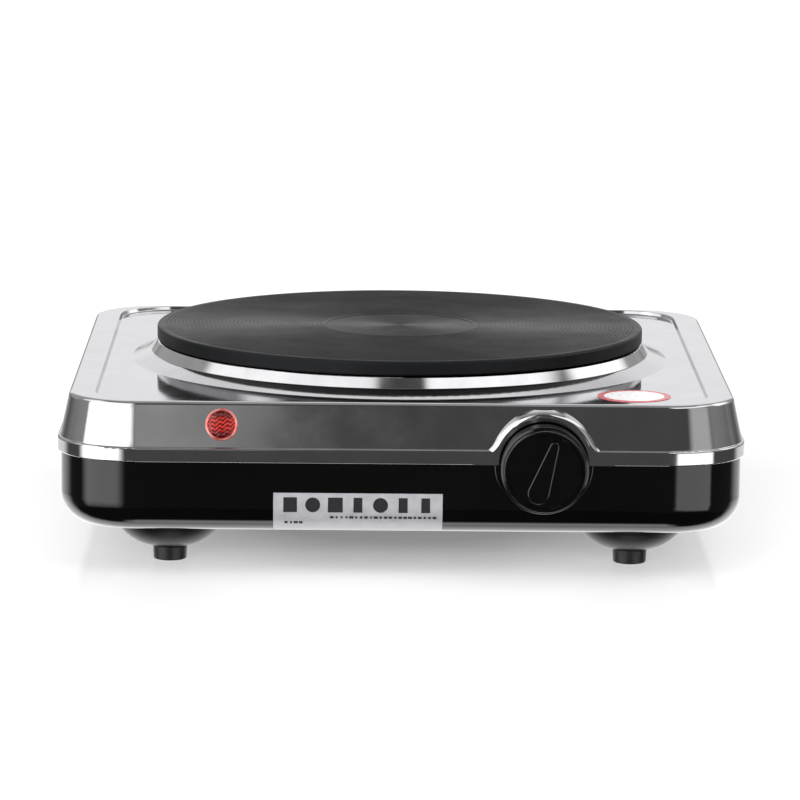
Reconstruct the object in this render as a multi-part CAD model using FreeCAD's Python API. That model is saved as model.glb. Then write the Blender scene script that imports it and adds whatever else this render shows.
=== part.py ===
import FreeCAD, Part
import math
import os

# Single electric hotplate for a worktop: a pressed steel housing over a black pan, with a cast iron
# plate standing in a spill ring, a rotary thermostat at the front and a pilot lamp beside it.
# Millimetres. +X to the right, +Y to the back, +Z up. The origin is on the worktop, under the middle
# of the overall box. Every piece is first drawn about the middle of the body, with the front at -Y.

# ---- body, seen from above ----
BODY_WIDTH = 249.8
BODY_DEPTH = 246.1
BODY_CORNER_RADIUS = 29.2

# ---- heights, each one stacked on the one before ----
FOOT_HEIGHT = 5.2
DOME_DEPTH = 10.2
PAN_WALL_HEIGHT = 26.3
FLANGE_HEIGHT = 5.1
SLOPE_HEIGHT = 16.35

# ---- upper housing, pressed from one sheet ----
HOUSING_SHEET = 0.7
FLANGE_STEP = 0.85
FLANGE_STEP_RISE = 0.25
SLOPE_RUN = 3.5
SHOULDER_RADIUS = 1.8
RECESS_DEPTH = 1.5
RECESS_SIDE_BORDER = 13.7
RECESS_END_BORDER = 6.6
RECESS_CORNER_RADIUS = 22.0
RECESS_WALL_LEAN = 0.7
PEDESTAL_HEIGHT = 2.9
PEDESTAL_SPREAD = 9.6

# ---- lower pan ----
PAN_SHEET = 0.8
PAN_INSET = 1.3
PAN_EDGE_RADIUS = 11.0
PAN_TUCK = 3.6
VENT_LENGTH = 26.0
VENT_WIDTH = 3.2
VENT_PITCH = 9.0
VENT_COUNT = 5
VENT_ROW_OFFSET = 32.0

# ---- hotplate ----
PLATE_DIAMETER = 185.0
PLATE_RIM_HEIGHT = 5.2
PLATE_RIM_OVERHANG = 6.5
PLATE_BODY_HEIGHT = 7.4
CENTRE_DISC_RADIUS = 28.0
CENTRE_DISC_DEPTH = 0.15
GROOVE_PITCH = 1.5
GROOVE_WIDTH = 0.7
GROOVE_DEPTH = 0.22
GROOVE_START = 30.5
GROOVE_MARGIN = 2.5
CHANNEL_BOSS_RADIUS = 24.0
CHANNEL_WEB = 5.0
CHANNEL_DEPTH = 5.0
COIL_WIRE_RADIUS = 1.9
CAP_SHEET = 0.8
CAP_MARGIN = 2.0
RING_SHEET = 0.6
RING_HEIGHT = 4.0
RING_FLARE = 2.2
RING_LIP = 4.4
RIM_GAP = 0.35
PANEL_HOLE_CLEARANCE = 2.0

# ---- plate fixing ----
STUD_RADIUS = 3.0
STUD_ENGAGEMENT = 5.0
STUD_LENGTH = 26.0
BAR_SHEET = 1.5
BAR_WIDTH = 18.0
BAR_FOOT = 10.0
BAR_DROP = 6.0
BAR_RISE_RUN = 7.0
NUT_ACROSS_FLATS = 10.0
NUT_HEIGHT = 4.5
WASHER_RADIUS = 7.0
WASHER_HEIGHT = 1.2
SHIELD_SHEET = 0.6
SHIELD_RADIUS = 78.0
SHIELD_RIM = 5.0
THREAD_CLEARANCE = 0.05
HOLE_CLEARANCE = 0.3

# ---- element terminals ----
TERMINAL_BLOCK_X = -34.0
TERMINAL_BLOCK_Y = 36.0
TERMINAL_BLOCK_SIZE = (36.0, 14.0, 7.0)
TERMINAL_PIN_PITCH = 12.0
TERMINAL_PIN_RADIUS = 1.2
TERMINAL_PIN_DROP = 6.0

# ---- knob and thermostat, on an axis that runs front to back ----
KNOB_X = 51.0
KNOB_DROP = 0.2
KNOB_SKIRT_RADIUS = 15.8
KNOB_SKIRT_SETBACK = 3.4
KNOB_FACE_RADIUS = 14.7
KNOB_LENGTH = 13.4
KNOB_WALL = 1.6
KNOB_BACK_GAP = 0.6
GRIP_LENGTH = 23.4
GRIP_WIDE_RADIUS = 4.0
GRIP_NARROW_RADIUS = 1.8
GRIP_HEIGHT = 2.2
GRIP_REST_ANGLE = 18.0
SPINDLE_RADIUS = 3.0
SPINDLE_FLAT = 2.2
SPINDLE_CLEARANCE = 0.05
HOOD_CLEARANCE = 0.5
HOOD_WALL = 3.4
HOOD_LIP_ROUND = 2.2
HOOD_FLARE = 2.4
HOOD_BLEND_RADIUS = 9.0
COLLAR_WIDTH = 1.8
COLLAR_HEIGHT = 0.9
TAB_CLEARANCE = 0.3
BUSH_RADIUS = 4.5
FRAME_SHEET = 1.2
FRAME_WIDTH = 26.0
FRAME_LENGTH = 32.0
STACK_DROP = 11.0
STACK_RADIUS = 4.0
BLADE_SHEET = 0.5
BLADE_WIDTH = 6.0
BLADE_GAP = 4.0
ADJUSTER_RADIUS = 4.4
ADJUSTER_LENGTH = 7.0
ADJUSTER_TIP = 1.6
ADJUSTER_BLADE_GAP = 1.6
ADJUSTER_KEY_WIDTH = 2.0
ADJUSTER_KEY_HEIGHT = 1.6
ADJUSTER_CLEARANCE = 0.35

# ---- pilot lamp, square to the front slope ----
LAMP_X = -64.7
LAMP_HEIGHT_ON_SLOPE = 8.3
LENS_RADIUS = 5.8
LENS_RIM = 0.9
LENS_DOME = 1.3
LENS_BODY_RADIUS = 4.2
LENS_BODY_LENGTH = 13.0
NEON_RADIUS = 2.4
NEON_LENGTH = 10.0
RESISTOR_LENGTH = 7.0

# ---- feet, posts and screws ----
FOOT_X = 84.2
FOOT_Y = 88.0
FOOT_RADIUS = 6.3
DOME_RADIUS = 13.9
DOME_LEAN = 6.8
DOME_BEND = 18.0
FOOT_STEM_RADIUS = 2.4
FOOT_HEAD_RADIUS = 4.0
POST_SIDE_INSET = 21.0
POST_Y = 60.0
POST_ACROSS_FLATS = 8.0
SCREW_RADIUS = 2.0
SCREW_HEAD_RADIUS = 3.8
SCREW_HEAD_HEIGHT = 2.0
SCREW_LENGTH = 9.0

# ---- mains inlet and wiring ----
INLET_X = 60.0
INLET_FLANGE_GAP = 0.7
INLET_BORE_RADIUS = 3.4
INLET_WALL = 1.8
INLET_FLANGE_RADIUS = 7.5
INLET_NUT_ACROSS_FLATS = 13.6
INLET_PROTRUSION = 5.0
INLET_TAIL = 9.0
BLOCK_SIZE = (34.0, 16.0, 12.0)
BLOCK_REAR_GAP = 32.0
BLOCK_POLE_PITCH = 10.5
WIRE_RADIUS = 1.2
WIRE_SHIELD_GAP = 5.0
EARTH_X = 24.0

# ---- labels ----
LABEL_X = -15.6
LABEL_WIDTH = 60.8
LABEL_TOP_DROP = 10.9
LABEL_BOTTOM_RISE = 1.0
LABEL_THICKNESS = 0.15
STICKER_X = 84.8
STICKER_FRONT_INSET = 33.5
STICKER_RADIUS = 13.4

# ---- heights and places that follow from the sizes above ----
Z_PAN = FOOT_HEIGHT + DOME_DEPTH
Z_PAN_FLOOR = Z_PAN + PAN_SHEET
Z_FLANGE = Z_PAN + PAN_WALL_HEIGHT
Z_FLANGE_TOP = Z_FLANGE + FLANGE_HEIGHT
Z_TOP = Z_FLANGE_TOP + SLOPE_HEIGHT
Z_RECESS = Z_TOP - RECESS_DEPTH
Z_RECESS_UNDER = Z_RECESS - HOUSING_SHEET
Z_PEDESTAL = Z_RECESS + PEDESTAL_HEIGHT
Z_RIM = Z_PEDESTAL + RING_HEIGHT + RIM_GAP
Z_PLATE = Z_RIM + PLATE_RIM_HEIGHT
Z_PLATE_UNDER = Z_RIM - PLATE_BODY_HEIGHT
Z_CAP = Z_PLATE_UNDER - CAP_SHEET
Z_BAR = Z_RECESS_UNDER - BAR_DROP
Z_CLAMP_NUT = Z_BAR - BAR_SHEET - WASHER_HEIGHT - NUT_HEIGHT
Z_SHIELD = Z_CLAMP_NUT - SHIELD_SHEET
Z_STUD = Z_PLATE_UNDER + STUD_ENGAGEMENT - STUD_LENGTH

PLATE_RADIUS = PLATE_DIAMETER / 2
PLATE_BODY_RADIUS = PLATE_RADIUS - PLATE_RIM_OVERHANG
PANEL_HOLE_RADIUS = PLATE_BODY_RADIUS + PANEL_HOLE_CLEARANCE
RING_FOOT_RADIUS = PLATE_RADIUS + RING_FLARE
PEDESTAL_RADIUS = PLATE_RADIUS + PEDESTAL_SPREAD
Y_FRONT = -BODY_DEPTH / 2
Y_PAN_FRONT = Y_FRONT + PAN_INSET
Y_PAN_INSIDE = Y_PAN_FRONT + PAN_SHEET
Y_PAN_BACK = -Y_PAN_FRONT
KNOB_Z = Z_FLANGE - KNOB_DROP
SLOPE_RISE = SLOPE_HEIGHT - FLANGE_STEP_RISE
SLOPE_ANGLE = math.degrees(math.atan2(SLOPE_RUN, SLOPE_RISE))
HOOD_RADIUS = KNOB_SKIRT_RADIUS + HOOD_CLEARANCE
Y_KNOB_FACE = Y_PAN_FRONT - KNOB_BACK_GAP - KNOB_LENGTH
Y_GRIP = Y_KNOB_FACE - GRIP_HEIGHT
Z_STACK = KNOB_Z - STACK_DROP
Y_ADJUSTER = Y_PAN_INSIDE + FRAME_SHEET + 5.0
Y_CONTACT_BLADE = Y_ADJUSTER + ADJUSTER_LENGTH + ADJUSTER_TIP + ADJUSTER_BLADE_GAP
POST_X = BODY_WIDTH / 2 - POST_SIDE_INSET
INLET_Z = Z_FLANGE - INLET_FLANGE_GAP - INLET_FLANGE_RADIUS
Y_BLOCK = Y_PAN_BACK - BLOCK_REAR_GAP

# The knob stands out further at the front than the inlet does at the back, so the middle of the
# overall box lies in front of the middle of the body by half of the difference.
BODY_SHIFT_Y = -(Y_GRIP + Y_PAN_BACK + INLET_PROTRUSION) / 2

ORIGIN = FreeCAD.Vector(0, 0, 0)
X_AXIS = FreeCAD.Vector(1, 0, 0)
Z_AXIS = FreeCAD.Vector(0, 0, 1)


# ---------------------------------------------------------------- drawing helpers

def unit(dx, dz):
    """Direction of a step in a section plane."""
    length = math.hypot(dx, dz)
    return dx / length, dz / length


def rounded_edges(corners, to_point):
    """Edges of a closed outline whose corners are (a, b, bend radius), each bend a tangent arc."""
    edges = []
    starts = []
    ends = []
    count = len(corners)
    arcs = []
    for i in range(count):
        a, b, bend = corners[i]
        before = unit(a - corners[i - 1][0], b - corners[i - 1][1])
        after_corner = corners[(i + 1) % count]
        after = unit(after_corner[0] - a, after_corner[1] - b)
        turn = math.acos(max(-1.0, min(1.0, before[0] * after[0] + before[1] * after[1])))
        if bend <= 0 or turn < 1e-4:
            starts.append((a, b))
            ends.append((a, b))
            arcs.append(None)
            continue
        reach = bend * math.tan(turn / 2)
        start = (a - before[0] * reach, b - before[1] * reach)
        end = (a + after[0] * reach, b + after[1] * reach)
        inward = unit(after[0] - before[0], after[1] - before[1])
        sagitta = bend / math.cos(turn / 2) - bend
        starts.append(start)
        ends.append(end)
        arcs.append((a + inward[0] * sagitta, b + inward[1] * sagitta))
    for i in range(count):
        if arcs[i] is not None:
            edges.append(Part.Arc(to_point(*starts[i]), to_point(*arcs[i]), to_point(*ends[i])).toShape())
        following = starts[(i + 1) % count]
        if math.dist(ends[i], following) > 1e-6:
            edges.append(Part.LineSegment(to_point(*ends[i]), to_point(*following)).toShape())
    return edges


def section(corners):
    """Face in the XZ plane with its corners given as (x, z, bend radius)."""
    edges = rounded_edges(corners, lambda a, b: FreeCAD.Vector(a, 0, b))
    return Part.Face(Part.Wire(Part.__sortEdges__(edges)))


def flat_face(corners, z):
    """Face at height z with its corners given as (x, y, bend radius)."""
    edges = rounded_edges(corners, lambda a, b: FreeCAD.Vector(a, b, z))
    return Part.Face(Part.Wire(Part.__sortEdges__(edges)))


def offset_path(path, distance):
    """Open path of (a, b, bend radius) moved sideways, to the right of its direction."""
    moved = []
    steps = []
    for here, there in zip(path[:-1], path[1:]):
        steps.append(unit(there[0] - here[0], there[1] - here[1]))
    for i, (a, b, bend) in enumerate(path):
        before = steps[max(i - 1, 0)]
        after = steps[min(i, len(steps) - 1)]
        right = unit(before[1] + after[1], -before[0] - after[0])
        spread = right[0] * before[1] - right[1] * before[0]
        cross = before[0] * after[1] - before[1] * after[0]
        new_bend = bend - distance if cross < 0 else bend + distance
        if bend == 0:
            new_bend = 0
        moved.append((a + right[0] * distance / spread, b + right[1] * distance / spread, max(new_bend, 0)))
    return moved


def turned(corners):
    """Solid of revolution about Z from corners (radius, height, bend radius)."""
    return section(corners).revolve(ORIGIN, Z_AXIS, 360)


def laid_back(shape):
    """Turns a piece drawn up the Z axis so that its axis runs to the back, along +Y."""
    shape.rotate(ORIGIN, X_AXIS, -90)
    return shape


def moved(shape, x, y, z):
    """Copy of a piece moved by x, y and z."""
    copy = shape.copy()
    copy.translate(FreeCAD.Vector(x, y, z))
    return copy


def on_knob_axis(corners):
    """Solid of revolution about the knob's axis from corners (radius, y, bend radius)."""
    return moved(laid_back(turned(corners)), KNOB_X, 0, KNOB_Z)


def box(x_range, y_range, z_range):
    """Box between two limits on each axis."""
    corner = FreeCAD.Vector(x_range[0], y_range[0], z_range[0])
    return Part.makeBox(x_range[1] - x_range[0], y_range[1] - y_range[0], z_range[1] - z_range[0], corner)


def rod(x, y, z_low, z_high, radius):
    """Upright cylinder."""
    return Part.makeCylinder(radius, z_high - z_low, FreeCAD.Vector(x, y, z_low))


def rod_along_y(x, z, y_front, y_back, radius):
    """Cylinder that runs front to back."""
    return Part.makeCylinder(radius, y_back - y_front, FreeCAD.Vector(x, y_front, z), FreeCAD.Vector(0, 1, 0))


def hexagon(x, y, z_low, z_high, across_flats, turn=0):
    """Upright hexagonal prism, with a flat facing +X unless it is turned."""
    radius = across_flats / math.sqrt(3)
    corners = []
    for i in range(6):
        angle = math.radians(60 * i + 30 + turn)
        corners.append((x + radius * math.cos(angle), y + radius * math.sin(angle), 0))
    return flat_face(corners, z_low).extrude(FreeCAD.Vector(0, 0, z_high - z_low))


def ring_of(radius, middle_radius, middle_height):
    """Torus about Z."""
    return Part.makeTorus(middle_radius, radius, FreeCAD.Vector(0, 0, middle_height))


def filled_body(profile, width, depth, radius):
    """Solid with a rounded-rectangle outline, inset by u at height z for profile corners (u, z, bend)."""
    z_first = profile[0][1]
    z_last = profile[-1][1]
    half_x = width / 2
    half_y = depth / 2
    spin = [(0, z_first, 0)] + [(radius - u, z, bend) for u, z, bend in profile] + [(0, z_last, 0)]
    quarter = section(spin).revolve(ORIGIN, Z_AXIS, 90)
    pieces = []
    places = [(1, 1), (-1, 1), (-1, -1), (1, -1)]
    for turns, (side_x, side_y) in enumerate(places):
        corner = quarter.copy()
        corner.rotate(ORIGIN, Z_AXIS, 90 * turns)
        pieces.append(moved(corner, side_x * (half_x - radius), side_y * (half_y - radius), 0))
    for half, length, turn in ((half_x, depth - 2 * radius, 0), (half_y, width - 2 * radius, 90)):
        right = [(half - u, z, bend) for u, z, bend in profile]
        left = [(u - half, z, bend) for u, z, bend in reversed(profile)]
        across = section(right + left).extrude(FreeCAD.Vector(0, length, 0))
        across.translate(FreeCAD.Vector(0, -length / 2, 0))
        across.rotate(ORIGIN, Z_AXIS, turn)
        pieces.append(across)
    return pieces[0].fuse(pieces[1:]).removeSplitter()


def route(points):
    """Wire of straight runs through the points, with one tangent arc as large as fits at each bend."""
    corners = [FreeCAD.Vector(*point) for point in points]
    edges = []
    start = corners[0]
    for before, here, after in zip(corners[:-2], corners[1:-1], corners[2:]):
        run_in = here - before
        run_out = after - here
        reach = 0.45 * min(run_in.Length, run_out.Length)
        turn = run_in.getAngle(run_out)
        run_in.normalize()
        run_out.normalize()
        bend = reach / math.tan(turn / 2)
        inward = run_out - run_in
        inward.normalize()
        arc_start = here - run_in * reach
        arc_end = here + run_out * reach
        arc_middle = here + inward * (bend / math.cos(turn / 2) - bend)
        if (arc_start - start).Length > 1e-6:
            edges.append(Part.LineSegment(start, arc_start).toShape())
        edges.append(Part.Arc(arc_start, arc_middle, arc_end).toShape())
        start = arc_end
    edges.append(Part.LineSegment(start, corners[-1]).toShape())
    return Part.Wire(edges)


def insulated_wire(points):
    """Round tube along a route."""
    path = route(points)
    direction = FreeCAD.Vector(*points[1]) - FreeCAD.Vector(*points[0])
    circle = Part.Wire(Part.makeCircle(WIRE_RADIUS, FreeCAD.Vector(*points[0]), direction))
    return path.makePipeShell([circle], True, False)


# ---------------------------------------------------------------- upper housing

def housing_path():
    """Outer face of the pressing from the flange's lower edge to the border, as (inset, z, bend)."""
    return [
        (0, Z_FLANGE, 0.45),
        (0, Z_FLANGE_TOP, 0.75),
        (FLANGE_STEP, Z_FLANGE_TOP + FLANGE_STEP_RISE, 0.35),
        (FLANGE_STEP + SLOPE_RUN, Z_TOP, SHOULDER_RADIUS),
        (FLANGE_STEP + SLOPE_RUN + 4.0, Z_TOP, 0),
    ]


def recess(extra, floor_bend, edge_bend):
    """Cutter for the sunk middle of the top, grown all round and downwards by extra."""
    width = BODY_WIDTH - 2 * RECESS_SIDE_BORDER + 2 * extra
    depth = BODY_DEPTH - 2 * RECESS_END_BORDER + 2 * extra
    profile = [
        (RECESS_WALL_LEAN, Z_RECESS - extra, floor_bend),
        (0, Z_TOP, edge_bend),
        (-1.2, Z_TOP, 0),
        (-1.2, Z_PEDESTAL + 2, 0),
    ]
    return filled_body(profile, width, depth, RECESS_CORNER_RADIUS + extra)


def pedestal_path():
    """Outer face of the raised ring that carries the plate, from the recess floor inwards."""
    return [
        (PEDESTAL_RADIUS + 2.0, Z_RECESS, 0),
        (PEDESTAL_RADIUS, Z_RECESS, 1.6),
        (RING_FOOT_RADIUS + 0.5, Z_PEDESTAL, 0.9),
        (PANEL_HOLE_RADIUS - 2.0, Z_PEDESTAL, 0),
    ]


def arch_outline(radius, blend):
    """Arch over the knob, standing on the flange's top line, with a concave blend at each foot."""
    z_line = Z_FLANGE_TOP - 1.0
    rise = z_line + blend - KNOB_Z
    foot = math.sqrt((radius + blend) ** 2 - rise ** 2)
    touch_x = foot * radius / (radius + blend)
    touch_z = KNOB_Z + rise * radius / (radius + blend)
    middle = math.atan2(rise, foot) / 2 - math.pi / 4
    z_mid = z_line + blend + blend * math.sin(middle)
    x_mid = foot + blend * math.cos(middle + math.pi)
    points = {
        "foot": FreeCAD.Vector(KNOB_X + foot, 0, z_line),
        "foot_middle": FreeCAD.Vector(KNOB_X + x_mid, 0, z_mid),
        "touch": FreeCAD.Vector(KNOB_X + touch_x, 0, touch_z),
        "crown": FreeCAD.Vector(KNOB_X, 0, KNOB_Z + radius),
    }
    mirrored = {}
    for name, point in points.items():
        mirrored[name] = FreeCAD.Vector(2 * KNOB_X - point.x, 0, point.z)
    low_left = FreeCAD.Vector(mirrored["foot"].x, 0, Z_FLANGE)
    low_right = FreeCAD.Vector(points["foot"].x, 0, Z_FLANGE)
    edges = [
        Part.LineSegment(low_left, low_right).toShape(),
        Part.LineSegment(low_right, points["foot"]).toShape(),
        Part.Arc(points["foot"], points["foot_middle"], points["touch"]).toShape(),
        Part.Arc(points["touch"], points["crown"], mirrored["touch"]).toShape(),
        Part.Arc(mirrored["touch"], mirrored["foot_middle"], mirrored["foot"]).toShape(),
        Part.LineSegment(mirrored["foot"], low_left).toShape(),
    ]
    return Part.Face(Part.Wire(edges))


def hood():
    """Visor over the knob: the flange carried up over it as a rounded lip, flaring into the slope."""
    radius = HOOD_RADIUS + HOOD_WALL
    depth = HOOD_FLARE + SLOPE_RUN + 3.0
    lip = arch_outline(radius, HOOD_BLEND_RADIUS).extrude(FreeCAD.Vector(0, depth, 0))
    lip.translate(FreeCAD.Vector(0, Y_FRONT, 0))
    front_edges = []
    for edge in lip.Edges:
        bounds = edge.BoundBox
        on_front = bounds.YMax < Y_FRONT + 1e-4
        if on_front and bounds.ZMin > Z_FLANGE + 1.0:
            front_edges.append(edge)
    lip = lip.makeFillet(min(HOOD_LIP_ROUND, 0.65 * HOOD_WALL), front_edges)
    flare = on_knob_axis([
        (0, Y_FRONT + 1.6, 0),
        (radius - 0.2, Y_FRONT + 1.6, 0),
        (radius + HOOD_FLARE, Y_FRONT + depth, 0),
        (0, Y_FRONT + depth, 0),
    ])
    above = box((KNOB_X - 60, KNOB_X + 60), (Y_FRONT - 5, Y_FRONT + 40), (Z_FLANGE_TOP - 2.0, Z_TOP - SHOULDER_RADIUS))
    return lip.fuse(flare.common(above))


def hood_opening():
    """Cutter for the tunnel through the hood, open downwards."""
    tunnel = rod_along_y(KNOB_X, KNOB_Z, Y_FRONT - 2, Y_FRONT + 14, HOOD_RADIUS)
    below = box(
        (KNOB_X - HOOD_RADIUS, KNOB_X + HOOD_RADIUS), (Y_FRONT - 2, Y_FRONT + 14), (Z_FLANGE - 2, KNOB_Z))
    if Z_FLANGE < KNOB_Z:
        tunnel = tunnel.fuse(below)
    return tunnel


def slope_point(height):
    """Y and Z of the front slope's face at a height above its foot."""
    y = Y_FRONT + FLANGE_STEP + SLOPE_RUN * height / SLOPE_RISE
    return y, Z_FLANGE_TOP + FLANGE_STEP_RISE + height


def on_slope(shape, x, height):
    """Places a piece drawn with its outward axis along -Y square to the front slope."""
    shape = shape.copy()
    shape.rotate(ORIGIN, X_AXIS, -SLOPE_ANGLE)
    shape.translate(FreeCAD.Vector(x, *slope_point(height)))
    return shape


def upper_housing():
    path = housing_path()
    skin = filled_body(path, BODY_WIDTH, BODY_DEPTH, BODY_CORNER_RADIUS)
    inside = offset_path(path, HOUSING_SHEET)
    inside[0] = (inside[0][0], Z_FLANGE - 3.0, 0)
    cavity = filled_body(inside, BODY_WIDTH, BODY_DEPTH, BODY_CORNER_RADIUS)
    raised = pedestal_path()
    raised_outside = turned(raised + [(0, Z_PEDESTAL, 0), (0, Z_RECESS - 0.3, 0), (raised[0][0], Z_RECESS - 0.3, 0)])
    under = [(r, z, bend) for r, z, bend in offset_path(list(reversed(raised)), HOUSING_SHEET)]
    raised_inside = turned(under + [(under[-1][0], Z_RECESS - 4, 0), (0, Z_RECESS - 4, 0), (0, under[0][1], 0)])
    skin = skin.cut(recess(0, 0.6, 0.5)).fuse([raised_outside, hood()])
    cavity = cavity.cut(recess(HOUSING_SHEET, 0, 0)).fuse(raised_inside)
    housing = skin.cut(cavity)
    lamp_hole = Part.makeCylinder(
        LENS_BODY_RADIUS + HOLE_CLEARANCE, 12, FreeCAD.Vector(0, -5, 0), FreeCAD.Vector(0, 1, 0))
    cutters = [
        rod(0, 0, Z_RECESS - 10, Z_PEDESTAL + 5, PANEL_HOLE_RADIUS),
        hood_opening(),
        on_slope(lamp_hole, LAMP_X, LAMP_HEIGHT_ON_SLOPE),
    ]
    return housing.cut(cutters).removeSplitter()


# ---------------------------------------------------------------- lower pan

def pan_skin(extra):
    """Filled outside of the pan, grown by extra (negative for its inside)."""
    profile = [
        (0, Z_PAN - extra, PAN_EDGE_RADIUS + extra),
        (0, Z_FLANGE + PAN_TUCK, 0),
    ]
    width = BODY_WIDTH - 2 * PAN_INSET + 2 * extra
    depth = BODY_DEPTH - 2 * PAN_INSET + 2 * extra
    return filled_body(profile, width, depth, BODY_CORNER_RADIUS - PAN_INSET + extra)


def foot_places():
    """Centre of each foot, with the side of the body it is on."""
    return {
        "front_left": (-FOOT_X, -FOOT_Y),
        "front_right": (FOOT_X, -FOOT_Y),
        "rear_left": (-FOOT_X, FOOT_Y),
        "rear_right": (FOOT_X, FOOT_Y),
    }


def dome():
    """Outside and inside of the bowl that is pressed down for a foot."""
    path = [
        (DOME_RADIUS + DOME_LEAN + 3.0, Z_PAN, 0),
        (DOME_RADIUS + DOME_LEAN, Z_PAN, 1.5),
        (DOME_RADIUS, FOOT_HEIGHT, DOME_BEND),
        (0, FOOT_HEIGHT, 0),
    ]
    outside = turned(path + [(0, Z_PAN + 0.3, 0), (path[0][0], Z_PAN + 0.3, 0)])
    within = offset_path(path, PAN_SHEET)
    inside = turned(within[1:-1] + [(0, within[-1][1], 0), (0, Z_PAN + 4, 0), (within[1][0], Z_PAN + 4, 0)])
    return outside, inside


def post_places():
    """Centre of each post that ties the pan to the housing."""
    return [(side_x * POST_X, side_y * POST_Y) for side_x in (-1, 1) for side_y in (-1, 1)]


def vent_slots():
    """Cutters for the two rows of cooling slots in the pan's floor."""
    slots = []
    for row in (-1, 1):
        for i in range(VENT_COUNT):
            y = (i - (VENT_COUNT - 1) / 2) * VENT_PITCH
            x = row * VENT_ROW_OFFSET
            half = VENT_LENGTH / 2
            end = VENT_WIDTH / 2 * 0.98
            corners = [
                (x - half, y - VENT_WIDTH / 2, end),
                (x + half, y - VENT_WIDTH / 2, end),
                (x + half, y + VENT_WIDTH / 2, end),
                (x - half, y + VENT_WIDTH / 2, end),
            ]
            slots.append(flat_face(corners, Z_PAN - 1).extrude(FreeCAD.Vector(0, 0, PAN_SHEET + 2)))
    return slots


def knob_tab():
    """Part of the pan's front wall that stands up behind the knob, with a raised collar around it."""
    tab = rod_along_y(KNOB_X, KNOB_Z, Y_PAN_FRONT, Y_PAN_INSIDE, HOOD_RADIUS - TAB_CLEARANCE)
    collar_inner = HOOD_RADIUS - TAB_CLEARANCE
    bead = min(0.45, COLLAR_WIDTH / 3)
    collar = on_knob_axis([
        (collar_inner, Y_PAN_FRONT + 0.1, 0),
        (collar_inner, Y_PAN_FRONT - COLLAR_HEIGHT, bead),
        (collar_inner + COLLAR_WIDTH, Y_PAN_FRONT - COLLAR_HEIGHT, bead),
        (collar_inner + COLLAR_WIDTH, Y_PAN_FRONT + 0.1, 0),
    ])
    hidden = box((KNOB_X - 40, KNOB_X + 40), (Y_FRONT - 5, Y_FRONT + 5), (Z_FLANGE - TAB_CLEARANCE, Z_TOP))
    return tab, collar.cut(hidden)


def lower_pan():
    dome_outside, dome_inside = dome()
    outsides = [moved(dome_outside, x, y, 0) for x, y in foot_places().values()]
    insides = [moved(dome_inside, x, y, 0) for x, y in foot_places().values()]
    pan = pan_skin(0).fuse(outsides).cut([pan_skin(-PAN_SHEET)] + insides)
    tab, collar = knob_tab()
    pan = pan.fuse([tab, collar])
    cutters = vent_slots()
    for x, y in foot_places().values():
        cutters.append(rod(x, y, 0, Z_PAN, FOOT_STEM_RADIUS + 0.2))
    for x, y in post_places():
        cutters.append(rod(x, y, Z_PAN - 1, Z_PAN + 2, SCREW_RADIUS + 0.2))
    cutters.append(rod_along_y(KNOB_X, KNOB_Z, Y_FRONT, Y_FRONT + 5, BUSH_RADIUS + HOLE_CLEARANCE))
    inlet_radius = INLET_BORE_RADIUS + INLET_WALL + HOLE_CLEARANCE
    cutters.append(rod_along_y(INLET_X, INLET_Z, Y_PAN_BACK - 3, Y_PAN_BACK + 3, inlet_radius))
    cutters.append(rod(EARTH_X, Y_BLOCK, Z_PAN - 1, Z_PAN + 2, SCREW_RADIUS + 0.2))
    return pan.cut(cutters).removeSplitter()


# ---------------------------------------------------------------- hotplate

def channel_radii():
    """Inner and outer radius of each ring-shaped channel under the plate."""
    outer_limit = PLATE_BODY_RADIUS - CHANNEL_WEB
    width = (outer_limit - CHANNEL_BOSS_RADIUS - CHANNEL_WEB) / 2
    first = (CHANNEL_BOSS_RADIUS, CHANNEL_BOSS_RADIUS + width)
    second = (first[1] + CHANNEL_WEB, outer_limit)
    return [first, second]


def tube(inner, outer, z_low, z_high):
    """Plain ring with a square section."""
    return turned([(inner, z_low, 0), (outer, z_low, 0), (outer, z_high, 0), (inner, z_high, 0)])


def cast_iron_plate():
    corners = [
        (0, Z_PLATE_UNDER, 0),
        (PLATE_BODY_RADIUS, Z_PLATE_UNDER, 0.8),
        (PLATE_BODY_RADIUS, Z_RIM + 0.6, 0),
        (PLATE_BODY_RADIUS + 0.6, Z_RIM, 0),
        (PLATE_RADIUS, Z_RIM, 0.7),
        (PLATE_RADIUS, Z_PLATE, 0.9),
    ]
    grooves = []
    radius = GROOVE_START
    while radius < PLATE_RADIUS - GROOVE_MARGIN:
        grooves.append(radius)
        radius += GROOVE_PITCH
    for radius in reversed(grooves):
        corners.append((radius + GROOVE_WIDTH / 2, Z_PLATE, 0))
        corners.append((radius, Z_PLATE - GROOVE_DEPTH, 0))
        corners.append((radius - GROOVE_WIDTH / 2, Z_PLATE, 0))
    corners.append((CENTRE_DISC_RADIUS, Z_PLATE, 0))
    corners.append((CENTRE_DISC_RADIUS - CENTRE_DISC_DEPTH, Z_PLATE - CENTRE_DISC_DEPTH, 0))
    corners.append((0, Z_PLATE - CENTRE_DISC_DEPTH, 0))
    plate = turned(corners)
    cutters = [rod(0, 0, Z_PLATE_UNDER - 1, Z_PLATE_UNDER + STUD_ENGAGEMENT, STUD_RADIUS + THREAD_CLEARANCE)]
    for inner, outer in channel_radii():
        cutters.append(tube(inner, outer, Z_PLATE_UNDER - 1, Z_PLATE_UNDER + CHANNEL_DEPTH))
    return plate.cut(cutters)


def coil_rings():
    """One ring of heating coil along the middle of each channel."""
    rings = []
    for inner, outer in channel_radii():
        rings.append(ring_of(COIL_WIRE_RADIUS, (inner + outer) / 2, Z_PLATE_UNDER + CHANNEL_DEPTH / 2))
    return rings


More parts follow.
